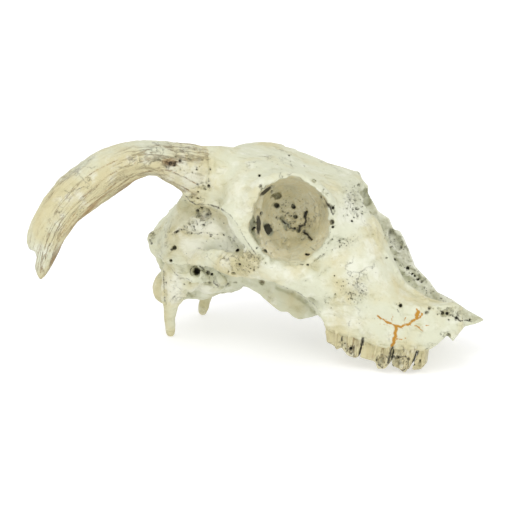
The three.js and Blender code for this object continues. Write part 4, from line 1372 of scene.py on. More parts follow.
def engrave(block, seed, tables, look=seen, inward=None):
    """Swellings, ridges, grooves, openings and pores, where one way of looking meets the bone."""
    inward = -camera_axes()[0] if inward is None else np.array(inward)
    rng = np.random.default_rng(seed)
    ragged = block.noise(1.9, seed)
    work = []

    def shaken(places):
        if len(places) < 3:
            return places
        return np.asarray(places, float) + rng.uniform(-SHAKEN, SHAKEN, (len(places), 2))

    def sides(both):
        return ((1, 1, 1), (1, -1, 1)) if both else ((1, 1, 1),)

    def plan(change, runs, radius, blend, both):
        amount = min(radius / RAGGED_RADIUS, 1) * RAGGED
        for run in runs:
            for side in sides(both):
                work.append((change, strand(run * side, radius), blend, amount))

    def perform():
        for change, shape, blend, amount in work:
            change(shape, blend, ragged, amount)
        work.clear()

    for x, y, radius, lift, both in tables.get("lumps", ()):
        for spot in look(block, [(x, y)]):
            for side in sides(both):
                cuts, bell = block.bell(spot * side, radius)
                block.bone[cuts] -= lift * bell
    for radius, blend, both, places in tables.get("ridges", ()):
        plan(block.add, traced(block, places, SPACING, look), radius, blend, both)
    for radius, blend, both, places in tables.get("grooves", ()):
        plan(block.cut, traced(block, shaken(places), SPACING, look), radius, blend, both)
    perform()
    for radius, depth, both, places in tables["holes"]:
        runs = traced(block, places, SPACING, look)
        runs = [np.concatenate([run, run[::-1] + inward * depth]) for run in runs]
        plan(block.cut, runs, radius, HOLE_BLEND, both)
    for x, y, across, down, count, small, large, both in tables["pores"]:
        spread = across * PORE_SPREAD, down * PORE_SPREAD
        spots = look(block, rng.normal((x, y), spread, (count, 2)))
        for spot, size in zip(spots, rng.uniform(small, large, len(spots))):
            plan(block.cut, [np.array([spot, spot + inward * size])], size, PORE_BLEND, both)
            # dark laid round each pore: dirt, with the painted shade of a hole too small to carve
            for side in sides(both):
                middle = (spot + inward * size * 0.6) * side
                cuts, bell = block.bell(middle, size + PORE_DARK_REACH)
                strength = min(PORE_DARKNESS, size / PORE_DARK_SIZE)
                block.dirt[cuts] = np.maximum(block.dirt[cuts], bell * strength)
    perform()


def relief(block):
    """Slow swells and fine grain over all bone."""
    bone = block.bone
    bone += block.noise(14, 31) * 0.55
    bone += block.noise(5, 32) * 0.2
    bone += block.noise(2, 33) * 0.1


def label_bones(block):
    """Number of the bone that each point inside belongs to, 0 outside."""
    labels = np.zeros(block.bone.shape, np.int8)
    inside = np.nonzero(block.bone < 0)
    point = [axis[i] for axis, i in zip(block.axes, inside)]
    wiggle = [block.noise(4, seed)[inside] * 0.9 for seed in (41, 42, 43)]
    x, y, z = (p + w for p, w in zip(point, wiggle))
    left = point[1] > 0
    out = np.abs(y)
    order = np.full(len(x), BONES.index("braincase") + 1, np.int8)

    def part(name, chosen):
        order[chosen] = BONES.index(name) + 1

    jaw = outline_distance(JAW_AREA, x, z) < 0
    part("upper_jaw_right", jaw & ~left)
    part("upper_jaw_left", jaw & left)
    part("forehead", outline_distance(FOREHEAD_AREA, x, z) < 0)
    cheek = (outline_distance(CHEEK_AREA, x, z) < 0) & (out > CHEEK_INNER)
    part("cheekbone_right", cheek & ~left)
    part("cheekbone_left", cheek & left)
    wing = (outline_distance(WING_AREA, x, z) < 0) & (out > WING_INNER)
    part("palate_wing_right", wing & ~left)
    part("palate_wing_left", wing & left)
    part("occiput", outline_distance(OCCIPUT_AREA, x, z) < 0)
    part("horn_core_right", (beyond(BURR, x, y, z) > 0) & (block.horn[inside] < 0.9))
    gum = np.interp(point[0], *np.asarray(GUM, float).T[:2])
    tooth = (block.teeth[inside] < 0.05) & (point[2] < gum + 0.6)
    part("teeth_right", tooth & ~left)
    part("teeth_left", tooth & left)
    labels[inside] = order
    return labels


def blurred(field, reach):
    """Mean of a field over a box that reaches that many points each way."""
    for axis in range(3):
        sums = np.cumsum(field, axis=axis, dtype=np.float32)
        size = field.shape[axis]
        ahead = np.minimum(np.arange(size) + reach, size - 1)
        behind = np.maximum(np.arange(size) - reach - 1, 0)
        field = (np.take(sums, ahead, axis) - np.take(sums, behind, axis)) / (2 * reach + 1)
    return field


def net_vertices(block, labels):
    """One vertex in each cell where labels meet, and the cells' numbers."""
    shape = np.array(labels.shape) - 1
    mixed = np.zeros(shape, bool)
    for corner in np.ndindex(2, 2, 2):
        moved = labels[tuple(slice(c, c + n) for c, n in zip(corner, shape))]
        mixed |= moved != labels[:-1, :-1, :-1]
    cells = np.nonzero(mixed)
    number = np.full(shape, -1, np.int32)
    number[cells] = np.arange(len(cells[0]))
    base = np.stack(cells, 1)
    values, marks = {}, {}
    for corner in np.ndindex(2, 2, 2):
        at = tuple((base + corner).T)
        values[corner] = block.bone[at]
        marks[corner] = labels[at]
    outer, seam = np.zeros((2, len(base), 3), np.float32)
    outer_count, seam_count = np.zeros((2, len(base), 1), np.float32)
    for axis in range(3):
        for first in np.ndindex(2, 2, 2):
            if first[axis]:
                continue
            second = tuple(1 if i == axis else c for i, c in enumerate(first))
            va, vb = values[first], values[second]
            crosses = (va < 0) != (vb < 0)
            gap = np.where(crosses, va - vb, 1)
            point = np.tile(np.array(first, np.float32), (len(base), 1))
            point[:, axis] = np.clip(va / gap, 0, 1)
            outer += np.where(crosses[:, None], point, 0)
            outer_count += crosses[:, None]
            inner = ~crosses & (marks[first] != marks[second])
            point[:, axis] = 0.5
            seam += np.where(inner[:, None], point, 0)
            seam_count += inner[:, None]
    seam /= np.maximum(seam_count, 1)
    share = np.where(outer_count > 0, outer / np.maximum(outer_count, 1), seam)
    return number, (block.low + (base + share) * block.step).astype(np.float32)


def net_faces(labels, number):
    """Four-sided faces between labels, with the label on the near and the far side of each."""
    faces, near, far = [], [], []
    for axis in range(3):
        inner = [slice(1, -1)] * 3
        inner[axis] = slice(0, -1)
        beyond_one = [slice(1, -1)] * 3
        beyond_one[axis] = slice(1, None)
        a, b = labels[tuple(inner)], labels[tuple(beyond_one)]
        at = np.stack(np.nonzero(a != b), 1)
        near.append(a[tuple(at.T)])
        far.append(b[tuple(at.T)])
        at += [0 if i == axis else 1 for i in range(3)]
        one, two = (axis + 1) % 3, (axis + 2) % 3
        ring = []
        for da, db in ((-1, -1), (0, -1), (0, 0), (-1, 0)):
            step = np.zeros(3, int)
            step[one], step[two] = da, db
            ring.append(number[tuple((at + step).T)])
        faces.append(np.stack(ring, 1))
    return np.concatenate(faces), np.concatenate(near), np.concatenate(far)


def daubed(block, points, daubs):
    """How strongly soft-edged stains, painted shade and painted light colour each point."""
    u, v, _ = on_screen(*points.T)
    back = camera_axes()[0]
    depth = (points - AIM) @ back
    mark = np.zeros(len(points), np.float32)
    for strength, x, y, across, down, turn in daubs:
        middle = seen(block, [(x, y)])
        if not len(middle):
            continue
        away = (depth - (middle[0] - AIM) @ back) / DAUB_DEPTH
        c, s = math.cos(math.radians(turn)), math.sin(math.radians(turn))
        one = ((u - x) * c + (v - y) * s) / across
        two = ((v - y) * c - (u - x) * s) / down
        np.maximum(mark, strength * np.exp(-(one * one + two * two) * 0.8 - away * away), out=mark)
    return mark


def stroked(block, points, strokes):
    """How strongly stains, dark seams and painted shade that run in lines colour each point."""
    mark = np.zeros(len(points), np.float32)
    for strength, radius, places in strokes:
        for run in traced(block, places, STROKE_SPACING):
            shape = strand(run, 0)
            reach = 3 * radius
            near = np.all((points > shape.low - reach) & (points < shape.high + reach), axis=1)
            gap = shape.distance(*points[near].T) / radius
            mark[near] = np.maximum(mark[near], strength * np.exp(-gap * gap * 0.7))
    return mark


def inside_sockets(points):
    """1 deep in the eye sockets, 0 outside them."""
    mark = np.zeros(len(points), np.float32)
    for side in SIDES.values():
        middle = np.array(SOCKET["middle"]) * (1, side, 1)
        local = (points - middle) @ np.stack(socket_axes(side), 1)
        length, depth, height = SOCKET["half"]
        q = np.sqrt(((local / (length, depth, height)) ** 2).sum(1))
        deep = step_between(-local[:, 1], -0.5, 3.5)
        mark = np.maximum(mark, deep * step_between(-q, -1.12, -1.05))
    return mark


def carved():
    """The carved skull, made once: vertices, faces, labels and marks of every bone."""
    if CARVED:
        return CARVED
    step = bpy.context.scene.skull_settings.grain
    block = Block(*BLOCK, step)
    carve_bones(block)
    relief(block)
    crumble(block)
    block.bone = trimmed(block, block.bone)
    engrave(block, 51, NEAR_SIDE)
    engrave(block, 53, BACK, from_behind, (1.0, 0, 0))
    engrave(block, 54, UNDERSIDE, from_below, (0, 0, 1.0))
    carve_teeth(block)
    engrave(block, 52, TOOTH_MARKS)
    cuts, at = block.window(block.low, (*block.high[:2], 2))
    block.bone[cuts] = np.maximum(block.bone[cuts], -at[2])
    block.drop_chips()
    labels = label_bones(block)
    number, vertices = net_vertices(block, labels)
    faces, near, far = net_faces(labels, number)
    # How closed in by bone each point is, close round it and farther round; the pits and hollows
    # marks made from it paint shade into creases and recesses.
    solid = (block.bone < 0).astype(np.float32)
    fine = blurred(solid, max(1, round(PIT_REACH / step)))
    broad = blurred(fine, max(2, round(HOLLOW_REACH / step)))
    marks = {name: np.zeros(len(vertices), np.float32) for name in MARKS}
    for name, daubs in DAUBS.items():
        marks[name] = np.maximum(marks[name], daubed(block, vertices, daubs))
    for name, strokes in STROKES.items():
        marks[name] = np.maximum(marks[name], stroked(block, vertices, strokes))
    # soot_and_shade also takes the pores' dark: dirt and painted shade
    marks["soot_and_shade"] = np.maximum(marks["soot_and_shade"], block.sample(block.dirt, vertices))
    marks["pits"] = block.sample(fine, vertices)
    marks["hollows"] = block.sample(broad, vertices)
    marks["dusk"] = inside_sockets(vertices)
    CARVED.update(vertices=vertices, faces=faces, near=near, far=far, marks=marks)
    return CARVED


def along_horn(points):
    """Each point's place along the horn core, drawn out, and beside its middle line."""
    table = np.asarray(HORN, float)[:, :3] * (1, RIGHT, 1)
    rows = np.column_stack([np.arange(len(table)), table])
    line = smooth_rows(rows, np.linspace(0, len(table) - 1, 80)).astype(float)
    course = np.gradient(line, axis=0)
    course /= np.linalg.norm(course, axis=1)[:, None]
    length = np.r_[0, np.cumsum(np.linalg.norm(np.diff(line, axis=0), axis=1))]
    nearest = np.argmin([np.square(points - place).sum(1) for place in line], axis=0)
    beside = points - line[nearest]
    on = (beside * course[nearest]).sum(1)
    normal = np.asarray(HORN_NORMAL, float) * (1, RIGHT, 1)
    thin = normal - course * (course @ normal)[:, None]
    thin /= np.linalg.norm(thin, axis=1)[:, None]
    wide = np.cross(course, thin)
    across = [(beside * frame[nearest]).sum(1) for frame in (thin, wide)]
    return np.column_stack([(length[nearest] + on) / FIBRE_STRETCH, *across]) * MM


def bone_piece(name, material):
    """Mesh of one bone, closed where it meets its neighbours."""
    made = carved()
    label = BONES.index(name) + 1
    out = made["faces"][made["near"] == label]
    back = made["faces"][made["far"] == label][:, ::-1]
    faces = np.concatenate([out, back])
    used, faces = np.unique(faces, return_inverse=True)
    faces = faces.reshape(-1, 4)
    places = made["vertices"][used]
    mesh = bpy.data.meshes.new(name)
    mesh.vertices.add(len(used))
    mesh.vertices.foreach_set("co", ((places - ORIGIN) * MM).astype(np.float32).ravel())
    mesh.loops.add(faces.size)
    mesh.loops.foreach_set("vertex_index", faces.astype(np.int32).ravel())
    mesh.polygons.add(len(faces))
    mesh.polygons.foreach_set("loop_start", np.arange(0, faces.size, 4, dtype=np.int32))
    mesh.update(calc_edges=True)
    mesh.validate()
    for key, values in made["marks"].items():
        layer = mesh.attributes.new(key, "FLOAT", "POINT")
        layer.data.foreach_set("value", values[used].astype(np.float32))
    if name.startswith("horn"):
        layer = mesh.attributes.new("fibre", "FLOAT_VECTOR", "POINT")
        layer.data.foreach_set("vector", along_horn(places).astype(np.float32).ravel())
        free = step_between(beyond(BURR, *places.T), 0.5, 5)
        layer = mesh.attributes.new("free", "FLOAT", "POINT")
        layer.data.foreach_set("value", free.astype(np.float32))
    mesh.shade_smooth()
    mesh.set_sharp_from_angle(angle=SHARP_ANGLE)
    mesh.materials.append(material)
    piece = bpy.data.objects.new(f"carved_{name}", mesh)
    bpy.context.scene.collection.objects.link(piece)
    return piece


def settle(piece, node=None):
    """Hides the solid that a piece stands for, if one is given, and joins the piece to the root
    body.
    """
    if node:
        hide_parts(node)
    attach(piece, "root")
    print(piece.name, len(piece.data.polygons) * 2, "triangles")


def fibre_tree(material):
    """Geometry nodes that raise long ridges along the horn core and sink furrows between them."""
    tree = bpy.data.node_groups.new("horn fibres", "GeometryNodeTree")
    sockets = tree.interface
    sockets.new_socket("Geometry", in_out="INPUT", socket_type="NodeSocketGeometry")
    for name, value in (("Furrow Spacing", 2.4), ("Furrow Depth", 1.6), ("Seed", 7.0)):
        socket = sockets.new_socket(name, in_out="INPUT", socket_type="NodeSocketFloat")
        socket.default_value = value
    sockets.new_socket("Geometry", in_out="OUTPUT", socket_type="NodeSocketGeometry")

    def node(kind, settings=None, **inputs):
        made = tree.nodes.new(kind)
        for key, value in (settings or {}).items():
            setattr(made, key, value)
        for key, value in inputs.items():
            socket = made.inputs[int(key[1:]) if key[0] == "_" else key]
            if isinstance(value, bpy.types.NodeSocket):
                tree.links.new(value, socket)
            else:
                socket.default_value = value
        return made.outputs

    def maths(operation, one, two):
        return node("ShaderNodeMath", {"operation": operation}, _0=one, _1=two)[0]

    given = node("NodeGroupInput")
    fibre = node("GeometryNodeInputNamedAttribute", {"data_type": "FLOAT_VECTOR"}, Name="fibre")[0]
    free = node("GeometryNodeInputNamedAttribute", {"data_type": "FLOAT"}, Name="free")[0]
    spacing = maths("DIVIDE", 1 / MM, given["Furrow Spacing"])
    settings = {"noise_dimensions": "4D"}
    inputs = {"Vector": fibre, "W": given["Seed"], "Scale": spacing, "Detail": 3.0}
    lines = node("ShaderNodeTexNoise", settings, **inputs)
    height = maths("MULTIPLY", maths("SUBTRACT", lines[0], 0.5), free)
    height = maths("MULTIPLY", height, maths("MULTIPLY", given["Furrow Depth"], MM))
    normal = node("GeometryNodeInputNormal")[0]
    push = node("ShaderNodeVectorMath", {"operation": "SCALE"}, Vector=normal, Scale=height)[0]
    moved = node("GeometryNodeSetPosition", Geometry=given["Geometry"], Offset=push)[0]
    whole = node("GeometryNodeRealizeInstances", Geometry=moved)[0]
    done = node("GeometryNodeSetMaterial", Geometry=whole, Material=material)[0]
    node("NodeGroupOutput", Geometry=done)
    return tree


def grown(piece, tree, values):
    """Runs a geometry node tree on a piece and keeps the plain mesh."""
    modifier = piece.modifiers.new(tree.name, "NODES")
    modifier.node_group = tree
    for item in tree.interface.items_tree:
        if item.in_out == "INPUT" and item.name in values:
            modifier[item.identifier] = values[item.name]
    graph = bpy.context.evaluated_depsgraph_get()
    shaped = piece.evaluated_get(graph)
    mesh = bpy.data.meshes.new_from_object(
        shaped, preserve_all_data_layers=True, depsgraph=graph
    )
    piece.modifiers.remove(modifier)
    piece.data = mesh
    mesh.shade_smooth()
    mesh.set_sharp_from_angle(angle=SHARP_ANGLE)


# ------------------------------------------------------------------ materials


class Value:
    """A number that changes over the surface; sums written on it add their nodes."""

    def __init__(self, paint, socket):
        self.paint, self.socket = paint, socket

    def math(self, operation, *terms):
        return self.paint.math(operation, self, *terms)

    def __add__(self, other):
        return self.math("ADD", other)

    def __sub__(self, other):
        return self.math("SUBTRACT", other)

    def __rsub__(self, other):
        return self.paint.math("SUBTRACT", other, self)

    def __mul__(self, other):
        return self.math("MULTIPLY", other)

    def over(self, other):
        return self.math("MAXIMUM", other)

    __radd__, __rmul__ = __add__, __mul__


class Paint:
    """A material's nodes, read from the object's own place in metres and the piece's own marks."""

    def __init__(self, name):
        self.material = bpy.data.materials.new(name)
        self.material.use_nodes = True
        self.nodes = self.material.node_tree.nodes
        self.links = self.material.node_tree.links
        self.shader = self.nodes["Principled BSDF"]
        self.place = self.node("ShaderNodeTexCoord").outputs["Object"]

    def node(self, kind, settings=None, inputs=None):
        node = self.nodes.new(kind)
        for key, value in (settings or {}).items():
            setattr(node, key, value)
        for key, value in (inputs or {}).items():
            self.put(node.inputs[key], value)
        return node

    def put(self, socket, value):
        if isinstance(value, Value):
            value = value.socket
        if isinstance(value, bpy.types.NodeSocket):
            self.links.new(value, socket)
        elif socket.type == "RGBA":
            socket.default_value = (*value[:3], 1)
        else:
            socket.default_value = value

    def math(self, operation, *terms):
        node = self.node("ShaderNodeMath", {"operation": operation}, dict(enumerate(terms)))
        return Value(self, node.outputs[0])

    def read(self, mark):
        node = self.node("ShaderNodeAttribute", {"attribute_name": mark})
        return Value(self, node.outputs["Fac"])

    def noise(self, size, detail=3.0, rough=0.55, place=None, twist=0.0):
        """Cloudy noise from 0 to 1 with bumps about that many millimetres apart."""
        inputs = {"Vector": place or self.place, "Scale": 1 / (size * MM), "Detail": detail}
        inputs |= {"Roughness": rough, "Distortion": twist}
        return Value(self, self.node("ShaderNodeTexNoise", None, inputs).outputs["Fac"])

    def cells(self, size):
        """Distance to the nearest of many scattered points that many millimetres apart."""
        inputs = {"Vector": self.place, "Scale": 1 / (size * MM)}
        return Value(self, self.node("ShaderNodeTexVoronoi", None, inputs).outputs["Distance"])

    def drawn(self, scale):
        """The piece's own place, squeezed along each axis so that noise is drawn out there."""
        inputs = {"Vector": self.place, "Scale": scale}
        return self.node("ShaderNodeMapping", None, inputs).outputs["Vector"]

    def contour(self, noise, width):
        """1 along the lines where a noise is half way, and 0 beside them."""
        return 1 - self.ease(self.math("ABSOLUTE", noise - 0.5), 0.0, width)

    def ease(self, value, low, high, start=0.0, end=1.0):
        """Start below low, end above high, and smooth between."""
        settings = {"interpolation_type": "SMOOTHSTEP"}
        inputs = {"Value": value, "From Min": low, "From Max": high, "To Min": start}
        inputs["To Max"] = end
        return Value(self, self.node("ShaderNodeMapRange", settings, inputs).outputs["Result"])

    def mix(self, share, first, second):
        """The first colour with a share of the second laid over it."""
        node = self.node("ShaderNodeMix", {"data_type": "RGBA"})
        self.put(node.inputs["Factor"], share)
        self.put(node.inputs[6], first)
        self.put(node.inputs[7], second)
        return node.outputs[2]

    def bump(self, height, distance):
        inputs = {"Height": height, "Distance": distance * MM, "Strength": 1.0}
        return self.node("ShaderNodeBump", None, inputs).outputs["Normal"]

    def finish(self, colour, roughness, normal):
        self.put(self.shader.inputs["Base Color"], colour)
        self.put(self.shader.inputs["Roughness"], roughness)
        self.put(self.shader.inputs["Normal"], normal)
        return self.material


def weathered(name, look, warmth=0.0, fibrous=False, enamel=False):
    """Dry, weathered bone: pale faces, cream clouds, stains and dark dirt, with painted shade laid
    into its recesses, creases, holes and pores and painted light on some recesses.
    """
    paint = Paint(name)
    grain = paint.place
    if fibrous:
        grain = paint.node("ShaderNodeAttribute", {"attribute_name": "fibre"}).outputs["Vector"]
    if enamel:
        grain = paint.drawn((1, 1, 0.16))
    cloud = paint.noise(24, 4)
    patch = paint.noise(7, 5, 0.62)
    grit = paint.noise(1.2, 4, 0.7)
    thread = paint.noise(2.2, 5, 0.65, grain)
    hollow_shade = paint.read("hollows")
    crease_shade = paint.read("pits")
    rough = paint.read("rough")
    bleach_and_light = paint.read("bleach_and_light")
    straw = paint.read("straw") * 0.28

    # the bone itself: warm clouds, chalky patches, raised by painted light where the
    # bleach_and_light mark is, and dusty streaks
    colour = paint.mix(paint.ease(cloud + warmth + straw, 0.44, 0.7), look.pale, look.cream)
    colour = paint.mix(paint.ease(patch + bleach_and_light * 0.4, 0.5, 0.72, 0, 0.6), colour, look.chalk)
    streak = paint.noise(3.4, 5, 0.72, paint.drawn((0.4, 1, 1)), 0.7)
    dusty = paint.ease(streak + (cloud - 0.5) * 0.5, 0.5, 0.72, 0, 0.18 if fibrous else 0.38)
    colour = paint.mix(dusty, colour, look.dust_and_shade)
    if fibrous or enamel:
        colour = paint.mix(paint.ease(thread, 0.42, 0.7, 0, 0.22), colour, look.tan)

    # painted shade in the hollows and in the eye sockets, painted light over it where the
    # bleach_and_light mark is, and clay in the eye sockets
    socket = paint.read("dusk")
    # painted shade in patches inside the eye sockets, in the dust_and_shade colour
    shade = socket * paint.ease(cloud + (patch - 0.5) * 0.7, 0.42, 0.66, 0, 0.4)
    # painted shade: the hollows mark darkens recesses, less in the sockets and where painted light
    # lifts them
    dusk = paint.ease(hollow_shade - bleach_and_light * 0.4 + (patch - 0.5) * 0.3, 0.5, 0.84)
    colour = paint.mix(dusk * (0.58 - socket * 0.4), colour, look.dust_and_shade)
    # painted light: chalk over the bleach_and_light mark lifts recesses left dark by the lights,
    # besides real chalky patches
    colour = paint.mix(bleach_and_light * 0.75, colour, look.chalk)
    washed = paint.ease(patch + (grit - 0.5) * 0.9, 0.4, 0.62, 0, 0.6)
    clay = paint.mix(washed, look.clay, look.chalk)
    colour = paint.mix(socket * paint.ease(patch, 0.3, 0.7, 0.6, 0.9), colour, clay)
    colour = paint.mix(shade, colour, look.dust_and_shade)

    # stains: growth on the old breaks, brown soil and the ochre root
    moss = paint.ease(paint.read("moss") + (patch - 0.5) * 1.1 + (grit - 0.5) * 0.5, 0.28, 0.85)
    moss_tone = paint.mix(paint.ease(grit, 0.35, 0.65), look.moss, look.dust_and_shade)
    colour = paint.mix(moss * 0.6, colour, moss_tone)
    rust = paint.ease(paint.read("rust") + (thread - 0.5) * 1.2 + (patch - 0.5) * 0.6, 0.35, 0.95)
    colour = paint.mix(rust * 0.75, colour, look.rust)
    ochre = paint.ease(paint.read("ochre") + (grit - 0.5) * 0.7, 0.3, 0.7)
    ochre_tone = paint.mix(paint.ease(grit, 0.5, 0.66, 0, 0.5), look.ochre, look.rust)
    colour = paint.mix(ochre, colour, ochre_tone)

    # dark marks: specks, fine cracks, lines along the grain, painted shade in creases, and the
    # soot_and_shade marks, dirt in cracks and seams and painted shade in holes, pores and tooth
    # gaps
    speck = 1 - paint.ease(paint.cells(1.5), 0.08, 0.3)
    # specks of dirt grow thicker in hollows, which adds painted shade there
    speck = speck * paint.ease(paint.noise(6, 3) + rough * 0.42 + hollow_shade * 0.3, 0.72, 0.92)
    crack = paint.contour(paint.noise(13, 6, 0.62, twist=0.5), 0.007)
    crack = crack * paint.ease(paint.noise(28, 2) + rough * 0.12, 0.55, 0.66)
    if fibrous or enamel:
        lines = paint.contour(paint.noise(3.0, 4, 0.6, grain), 0.035)
        lines = lines * paint.ease(paint.noise(6, 3, 0.5, grain) + rough * 0.25, 0.44, 0.62)
    if fibrous:
        hair = paint.contour(paint.noise(1.5, 4, 0.6, grain), 0.05)
        tufts = paint.noise(5, 3, 0.5, grain) + paint.read("rust") * 0.3
        lines = lines.over(hair * paint.ease(tufts, 0.48, 0.62) * 0.6)
    soot_and_shade = paint.ease(paint.read("soot_and_shade") + (grit - 0.5) * 0.9 + (patch - 0.5) * 0.9, 0.35, 0.85)
    # painted shade: dark where the bone closes round a crease
    dark = paint.ease(crease_shade + (grit - 0.5) * 0.25, 0.62, 0.82)
    # stain holds dirt and painted shade: shade in creases, specks, cracks and the soot_and_shade
    # marks
    stain = dark.over(speck * 0.8).over(crack * 0.5).over(soot_and_shade)
    if fibrous or enamel:
        colour = paint.mix(lines * (0.6 - bleach_and_light * 0.3 - straw * 1.2), colour, look.rust)
    colour = paint.mix(stain * 0.92, colour, look.soot_and_shade)

    # fine relief
    relief = grit * 0.45 - streak * 0.3 + paint.noise(0.5, 3) * 0.15
    relief = relief - speck * 0.5 - crack * 0.4 + rough * grit * 0.9
    if fibrous or enamel:
        relief = relief + thread * 1.1 - lines * 0.7
    gloss = 0.42 if enamel else 0.62
    return paint.finish(colour, gloss + grit * 0.2, paint.bump(relief, 0.8 if fibrous else 0.7))


def plain(name, colour, glow):
    """Even, matt white that gives some light of its own, so that shadows on it stay pale."""
    paint = Paint(name)
    paint.put(paint.shader.inputs["Emission Color"], colour)
    paint.shader.inputs["Emission Strength"].default_value = glow
    return paint.finish(colour, 0.7, paint.bump(paint.noise(40, 2), 0.01))


# ------------------------------------------------------------------ add-on


def tone(name, description, default):
    return bpy.props.FloatVectorProperty(
        name=name,
        description=description,
        default=default,
        subtype="COLOR",
        size=3,
        min=0,
        max=1,
    )


class SkullLook(bpy.types.PropertyGroup):
    pale: tone("Pale Bone", "Most of the bone", (0.62, 0.63, 0.475))
    cream: tone("Cream Bone", "Warm clouds on the bone", (0.6, 0.55, 0.33))
    # chalk is also the colour of the painted light laid by the bleach_and_light mark
    chalk: tone("Chalky Bone", "Bleached patches", (0.76, 0.765, 0.65))
    # dust_and_shade: colour of dusty streaks, and of the painted shade in hollows and eye sockets
    dust_and_shade: tone("Dust", "Dirt held in hollows", (0.34, 0.32, 0.15))
    moss: tone("Weathering", "Grey-green growth on old breaks", (0.4, 0.41, 0.27))
    ochre: tone("Ochre Stain", "Orange stain like roots", (0.44, 0.21, 0.012))
    rust: tone("Brown Stain", "Brown soil stain", (0.33, 0.19, 0.065))
    tan: tone("Tan Fibres", "Fibres of the horn core and the enamel", (0.5, 0.39, 0.19))
    clay: tone("Socket Clay", "Grey-tan dirt in the eye sockets", (0.68, 0.6, 0.37))
    # soot_and_shade: colour of dirt in cracks and pores, and of the painted shade in holes,
    # creases and tooth gaps
    soot_and_shade: tone("Dark Dirt", "Dirt in pores and cracks", (0.022, 0.018, 0.01))


class SkullSettings(bpy.types.PropertyGroup):
    grain: bpy.props.FloatProperty(
        name="Grain",
        description="Distance between the points that the skull is carved from, in millimetres",
        default=0.65,
        min=0.4,
        max=2.0,
    )
    furrow_spacing: bpy.props.FloatProperty(
        name="Furrow Spacing",
        description="Distance between the furrows along the horn core, in millimetres",
        default=2.4,
        min=1.0,
        max=10.0,
    )
    furrow_depth: bpy.props.FloatProperty(
        name="Furrow Depth",
        description="Depth of the furrows along the horn core, in millimetres",
        default=1.6,
        min=0.0,
        max=4.0,
    )


def finish_for(name, **choices):
    """The finish of that name, made once."""
    made = bpy.data.materials.get(f"weathered {name}")
    return made or weathered(f"weathered {name}", bpy.context.scene.skull_look, **choices)


class Carving:
    """What the operators that carve plain bones share."""

    def execute(self, context):
        for name in self.bones:
            settle(bone_piece(name, finish_for("bone")), name)
        return {"FINISHED"}


class SKULL_OT_cranium(Carving, bpy.types.Operator):
    """Carve the braincase, the occiput and the forehead"""

    bl_idname = "skull.cranium"
    bl_label = "Carve Cranium"
    bones = ("braincase", "occiput", "forehead")


class SKULL_OT_cheekbones(Carving, bpy.types.Operator):
    """Carve the two cheekbones with the arches behind them"""

    bl_idname = "skull.cheekbones"
    bl_label = "Carve Cheekbones"
    bones = ("cheekbone_right", "cheekbone_left")


class SKULL_OT_upper_jaws(Carving, bpy.types.Operator):
    """Carve the two upper jaws with the walls of the nose"""

    bl_idname = "skull.upper_jaws"
    bl_label = "Carve Upper Jaws"
    bones = ("upper_jaw_right", "upper_jaw_left")


class SKULL_OT_palate_wings(Carving, bpy.types.Operator):
    """Carve the two thin wings behind the palate"""

    bl_idname = "skull.palate_wings"
    bl_label = "Carve Palate Wings"
    bones = ("palate_wing_right", "palate_wing_left")


class SKULL_OT_horn_core(bpy.types.Operator):
    """Carve the right horn core and raise the fibres along it"""

    bl_idname = "skull.horn_core"
    bl_label = "Carve Horn Core"

    def execute(self, context):
        sizes = context.scene.skull_settings
        material = finish_for("horn core", warmth=0.12, fibrous=True)
        piece = bone_piece("horn_core_right", material)
        values = {"Furrow Spacing": sizes.furrow_spacing, "Furrow Depth": sizes.furrow_depth}
        grown(piece, fibre_tree(material), values)
        settle(piece, "horn_core_right")
        return {"FINISHED"}


class SKULL_OT_teeth(bpy.types.Operator):
    """Carve the cheek teeth of both sides"""

    bl_idname = "skull.teeth"
    bl_label = "Carve Teeth"

    def execute(self, context):
        for side in SIDES:
            material = finish_for("teeth", warmth=0.12, enamel=True)
            settle(bone_piece(f"teeth_{side}", material))
        return {"FINISHED"}


def placed(name, data, direction=None):
    """Puts a new object in the scene, with its own -Z along a direction if one is given."""
    thing = bpy.data.objects.new(name, data)
    if direction is not None:
        thing.rotation_mode = "QUATERNION"
        thing.rotation_quaternion = Vector(direction).to_track_quat("-Z", "Y")
    bpy.context.scene.collection.objects.link(thing)
    return thing


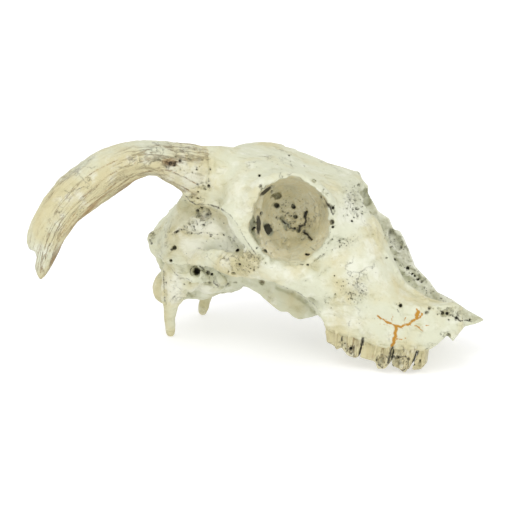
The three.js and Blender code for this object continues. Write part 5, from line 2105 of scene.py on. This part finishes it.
class SKULL_OT_stage(bpy.types.Operator):
    """Lay the floor and set the lights and the camera"""

    bl_idname = "skull.stage"
    bl_label = "Set Stage"

    def execute(self, context):
        scene = context.scene
        back = towards(AZIMUTH, ELEVATION)
        data = bpy.data.cameras.new("camera")
        data.sensor_width = SENSOR_MM
        data.lens = PIXELS_PER_MM * DISTANCE * SENSOR_MM / FRAME_PIXELS
        scene.camera = placed("camera", data, -back)
        scene.camera.location = (AIM + DISTANCE * back - ORIGIN) * MM
        mesh = bpy.data.meshes.new("floor")
        corners = ((-1, -1), (1, -1), (1, 1), (-1, 1))
        corners = [(x * FLOOR_REACH, y * FLOOR_REACH, 0) for x, y in corners]
        mesh.from_pydata(corners, [], [(0, 1, 2, 3)])
        mesh.materials.append(plain("floor", FLOOR_COLOUR, FLOOR_GLOW))
        placed("floor", mesh)
        world = bpy.data.worlds.new("soft light")
        world.use_nodes = True
        sky = world.node_tree.nodes["Background"].inputs
        sky["Color"].default_value = (1, 1, 1, 1)
        sky["Strength"].default_value = SKY_STRENGTH
        scene.world = world
        scene.view_settings.view_transform = "Standard"
        for name, turn, height, strength, spread in LIGHTS:
            data = bpy.data.lights.new(name, "SUN")
            data.energy, data.angle = strength, math.radians(spread)
            placed(name, data, -towards(turn, height))
        return {"FINISHED"}


class SKULL_PT_panel(bpy.types.Panel):
    bl_label = "Ram Skull"
    bl_idname = "SKULL_PT_panel"
    bl_space_type = "VIEW_3D"
    bl_region_type = "UI"
    bl_category = "Skull"

    def draw(self, context):
        for name in ("grain", "furrow_spacing", "furrow_depth"):
            self.layout.prop(context.scene.skull_settings, name)
        for step in STEPS:
            self.layout.operator(step.bl_idname)


STEPS = (
    SKULL_OT_cranium,
    SKULL_OT_cheekbones,
    SKULL_OT_upper_jaws,
    SKULL_OT_palate_wings,
    SKULL_OT_horn_core,
    SKULL_OT_teeth,
    SKULL_OT_stage,
)
CLASSES = (SkullLook, SkullSettings, *STEPS, SKULL_PT_panel)


def register():
    for cls in CLASSES:
        bpy.utils.register_class(cls)
    bpy.types.Scene.skull_look = bpy.props.PointerProperty(type=SkullLook)
    bpy.types.Scene.skull_settings = bpy.props.PointerProperty(type=SkullSettings)


def unregister():
    del bpy.types.Scene.skull_settings
    del bpy.types.Scene.skull_look
    for cls in reversed(CLASSES):
        bpy.utils.unregister_class(cls)


def main():
    """Builds the skull and its stage."""
    register()
    bpy.ops.skull.cranium()
    bpy.ops.skull.cheekbones()
    bpy.ops.skull.upper_jaws()
    bpy.ops.skull.palate_wings()
    bpy.ops.skull.horn_core()
    bpy.ops.skull.teeth()
    bpy.ops.skull.stage()


if __name__ == "__main__":
    main()
